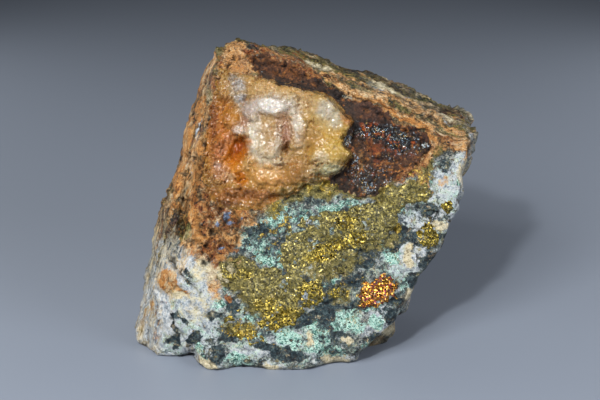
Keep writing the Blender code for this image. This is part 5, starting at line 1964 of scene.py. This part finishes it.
@dataclass
class OreMass(Crust):
    """A body of granular ore that stands a little out of the rock, with gaps where the rock shows."""

    outline: tuple[Spot, ...] = CHALCOPYRITE_OUTLINE
    name: str = "chalcopyrite_vein"
    node: str = "chalcopyrite_mass"
    slot: str = "chalcopyrite"
    step_mm: float = 0.18
    spill_mm: float = 1.6
    seed: int = 200
    lowest_mm: float = -6.0
    # no ore where the rock drops by more than this close by, or lies deeper than this
    brink_mm: float = 2.6
    brink_depth_mm: float = 3.0
    brink_rounds: int = 6
    # where fresh metal shines through the film
    golden: tuple[Patch, ...] = (
        (-4, 13, 7, 3.6, -20, 0.5), (-9, 16, 3, 4, 0, 0.4), (3, 19, 3, 5, 10, 0.6),
        (7, 31, 6, 2, 25, 0.55), (14, 34, 4, 2, 30, 0.5), (26, 44.6, 8, 2, 0, 0.1),
        (12, 38, 3, 2, 0, 0.35), (-16, 25, 4, 2, 0, 0.3), (38, 42, 3, 3, 0, 0.8), (33, 34, 4, 5, 0, 0.7),
        (9, 20, 3, 3, 0, 0.6), (-14, 10, 8, 7, 0, 0.4), (20, 21, 7, 6, 0, 0.8),
    )
    # where the rock under the ore lies bare
    openings: tuple[Patch, ...] = (
        (2.6, 25, 1.9, 1.5, 20, 1), (-8.6, 28.6, 2.4, 1.8, 30, 1), (10.8, 27, 1.2, 1.6, 0, 0.9),
        (-1, 36.4, 1.2, 0.6, 20, 0.8), (17.4, 36.4, 0.8, 0.5, 30, 0.8), (-9, 18.6, 0.6, 0.9, 0, 0.8),
        (-14.4, 10.4, 1.1, 0.9, 0, 0.9), (-11.8, 8.2, 1.3, 0.7, -10, 0.9),
        (-16.4, 14.2, 0.9, 0.9, 0, 0.9), (-16.6, 26.6, 1.5, 1, 40, 0.9),
        (-14.2, 22.6, 1.2, 0.8, 20, 0.8), (-17.4, 29.6, 1.4, 0.8, 0, 0.8),
        (-10.8, 14, 0.9, 1.2, 10, 0.7),
    )

    def kept_off_brinks(self, surface: RockSurface) -> tuple[Array, Array, Array, Array]:
        """Lays the grid without the part that would hang out over the edge of the rock.

        Args:
            surface: the rock's surface.

        Returns:
            The places on the face in mm, the square faces, and the rock's height and how far it drops
            close by, both in mm at each place.
        """
        places, squares = self.grid()
        ground = surface.heights(places)
        brink = ground - lowest_around(ground, square_edges(squares), self.brink_rounds)
        sound = (brink < self.brink_mm) & (ground > -self.brink_depth_mm)
        kept = squares[sound[squares].all(axis=1)]
        used = np.unique(kept)
        return places[used], np.searchsorted(used, kept), ground[used], brink[used]

    def build(self, surface: RockSurface, material: Material) -> Piece:
        """Builds the ore over the rock and dresses it.

        Args:
            surface: the rock's surface.
            material: the ore's finish.

        Returns:
            The dressed piece.
        """
        places, squares, ground, brink = self.kept_off_brinks(surface)
        inside = inside_distance(warped(places, 1.8, 3.0, self.seed), self.outline)
        inside += 0.7 * waves(places, 1.1, self.seed + 6)
        # the ore sinks into the rock outside its outline, in holes, near brinks and in its openings
        holes = fractal(places, 2.6, self.seed + 1)
        fill = smooth(-1.0, 0.6, inside) - 0.9 * smooth(0.22, 0.5, holes)
        fill -= 2.0 * smooth(1.0, 2.0, brink)
        fill -= 1.6 * patch_cover(warped(places, 1.0, 1.6, self.seed + 8), self.openings)
        bent = warped(places, 0.25, 0.9, self.seed + 2)
        rough = packed_blocks(bent, ((0.3, 1.5, self.seed + 3), (0.4, 0.48, self.seed + 4)))
        places[:, 2] = np.maximum(ground, self.lowest_mm) - 0.6 + 0.8 * fill + rough
        mesh = self.closed(self.name, places, squares, ground)
        # painted shade: the low places between grains get a dark colour and no metal
        add_layer(mesh, "gap", 0.85 * smooth(-0.08, -0.26, rough))
        golden = patch_cover(warped(places, 1.0, 2.0, self.seed + 7), self.golden)
        add_layer(mesh, "gold", 0.16 + 0.8 * golden)
        return finish_piece(self.name, mesh, (self.node,), material)


# ---- the studio --------------------------------------------------------------------------------------


@dataclass(frozen=True)
class Softbox:
    """A square soft light that faces the specimen."""

    name: str
    place_mm: tuple[float, float, float]
    size_mm: float
    watts: float
    tint: str = "#FFFFFF"


@dataclass
class Studio:
    """A pale floor, soft lights, and the camera."""

    target_mm: tuple[float, float, float] = (-1.19, -5.13, 39.4)
    distance_mm: float = 390.0
    elevation_deg: float = 20.0
    lens_mm: float = 90.0
    sensor_mm: float = 36.0
    floor_colour: str = "#868E9B"
    floor_roughness: float = 0.45
    floor_reach_mm: float = 1500.0
    world_colour: str = "#8A929C"
    world_strength: float = 0.08
    lights: tuple[Softbox, ...] = (
        Softbox("key_softbox", (-170.0, -330.0, 330.0), 190.0, 2.0),
        Softbox("small_lamp", (-90.0, -340.0, 300.0), 26.0, 1.15),
        Softbox("fill_softbox", (300.0, -260.0, 190.0), 200.0, 0.8, "#F2F6FF"),
        Softbox("top_softbox", (60.0, 230.0, 380.0), 180.0, 0.1),
        Softbox("left_back_softbox", (-280.0, 230.0, 120.0), 200.0, 0.3),
        Softbox("right_back_softbox", (280.0, 230.0, 120.0), 200.0, 0.35),
    )

    def add_camera(self) -> None:
        """Looks at the front face from a little above."""
        camera = bpy.data.cameras.new("camera")
        camera.lens = self.lens_mm
        camera.sensor_width = self.sensor_mm
        camera.clip_start = 0.01
        holder = new_object("camera", camera)
        tilt = math.radians(self.elevation_deg)
        back = Vector((0.0, -math.cos(tilt), math.sin(tilt)))
        holder.location = (Vector(self.target_mm) + back * self.distance_mm) * MM
        holder.rotation_mode = "QUATERNION"
        holder.rotation_quaternion = (-back).to_track_quat("-Z", "Y")
        bpy.context.scene.camera = holder

    def add_light(self, box: Softbox) -> None:
        """Adds a soft light and turns it to the specimen.

        Args:
            box: the light's place, size, power and colour.
        """
        light = bpy.data.lights.new(box.name, "AREA")
        light.size = box.size_mm * MM
        light.energy = box.watts
        light.color = linear(box.tint)[:3]
        holder = new_object(box.name, light)
        holder.location = Vector(box.place_mm) * MM
        aim = Vector(self.target_mm) * MM - holder.location
        holder.rotation_mode = "QUATERNION"
        holder.rotation_quaternion = aim.to_track_quat("-Z", "Y")

    def add_floor(self) -> None:
        """Lays the pale floor."""
        corners = np.array([(-1.0, -1.0, 0.0), (1.0, -1.0, 0.0), (1.0, 1.0, 0.0), (-1.0, 1.0, 0.0)])
        corners *= self.floor_reach_mm
        floor = new_object("floor", new_mesh("floor", corners, [(0, 1, 2, 3)]))
        material, tree, shader = new_material("satin_table")
        looks = {"Base Color": linear(self.floor_colour), "Roughness": self.floor_roughness}
        set_inputs(tree, shader, looks)
        floor.data.materials.append(material)

    def build(self) -> None:
        """Sets the studio up."""
        scene = bpy.context.scene
        scene.view_settings.view_transform = "Standard"
        world = bpy.data.worlds.new("studio_air")
        world.use_nodes = True
        sky = {"Color": linear(self.world_colour), "Strength": self.world_strength}
        set_inputs(world.node_tree, world.node_tree.nodes["Background"], sky)
        scene.world = world
        self.add_floor()
        for box in self.lights:
            self.add_light(box)
        self.add_camera()
        LOG.info("studio: floor, %d lights and the camera", len(self.lights))


def main() -> None:
    """Builds every piece in order and reports each one."""
    logging.basicConfig(level=logging.INFO, format="%(name)s: %(message)s", stream=sys.stdout)
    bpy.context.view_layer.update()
    Studio().build()
    surface = RockSurface(HostRock().build())
    QuartzCluster().build(surface)
    GoethiteCrust().build(surface)
    ore = OreFinish().material()
    tarnish = TarnishedOreFinish().material()
    OreMass().build(surface, ore)
    for number, (place, outline) in enumerate(BLEB_OUTLINES.items()):
        node = "chalcopyrite_bleb_" + place
        OreMass(outline, name="ore_grains_" + place, node=node, seed=220 + 10 * number).build(surface, ore)
    tarnished = OreMass(
        TARNISHED_OUTLINE,
        name="tarnished_ore_grains",
        node="tarnished_chalcopyrite_bleb",
        slot="tarnished_chalcopyrite",
        seed=290,
    )
    tarnished.build(surface, tarnish)


if __name__ == "__main__":
    main()
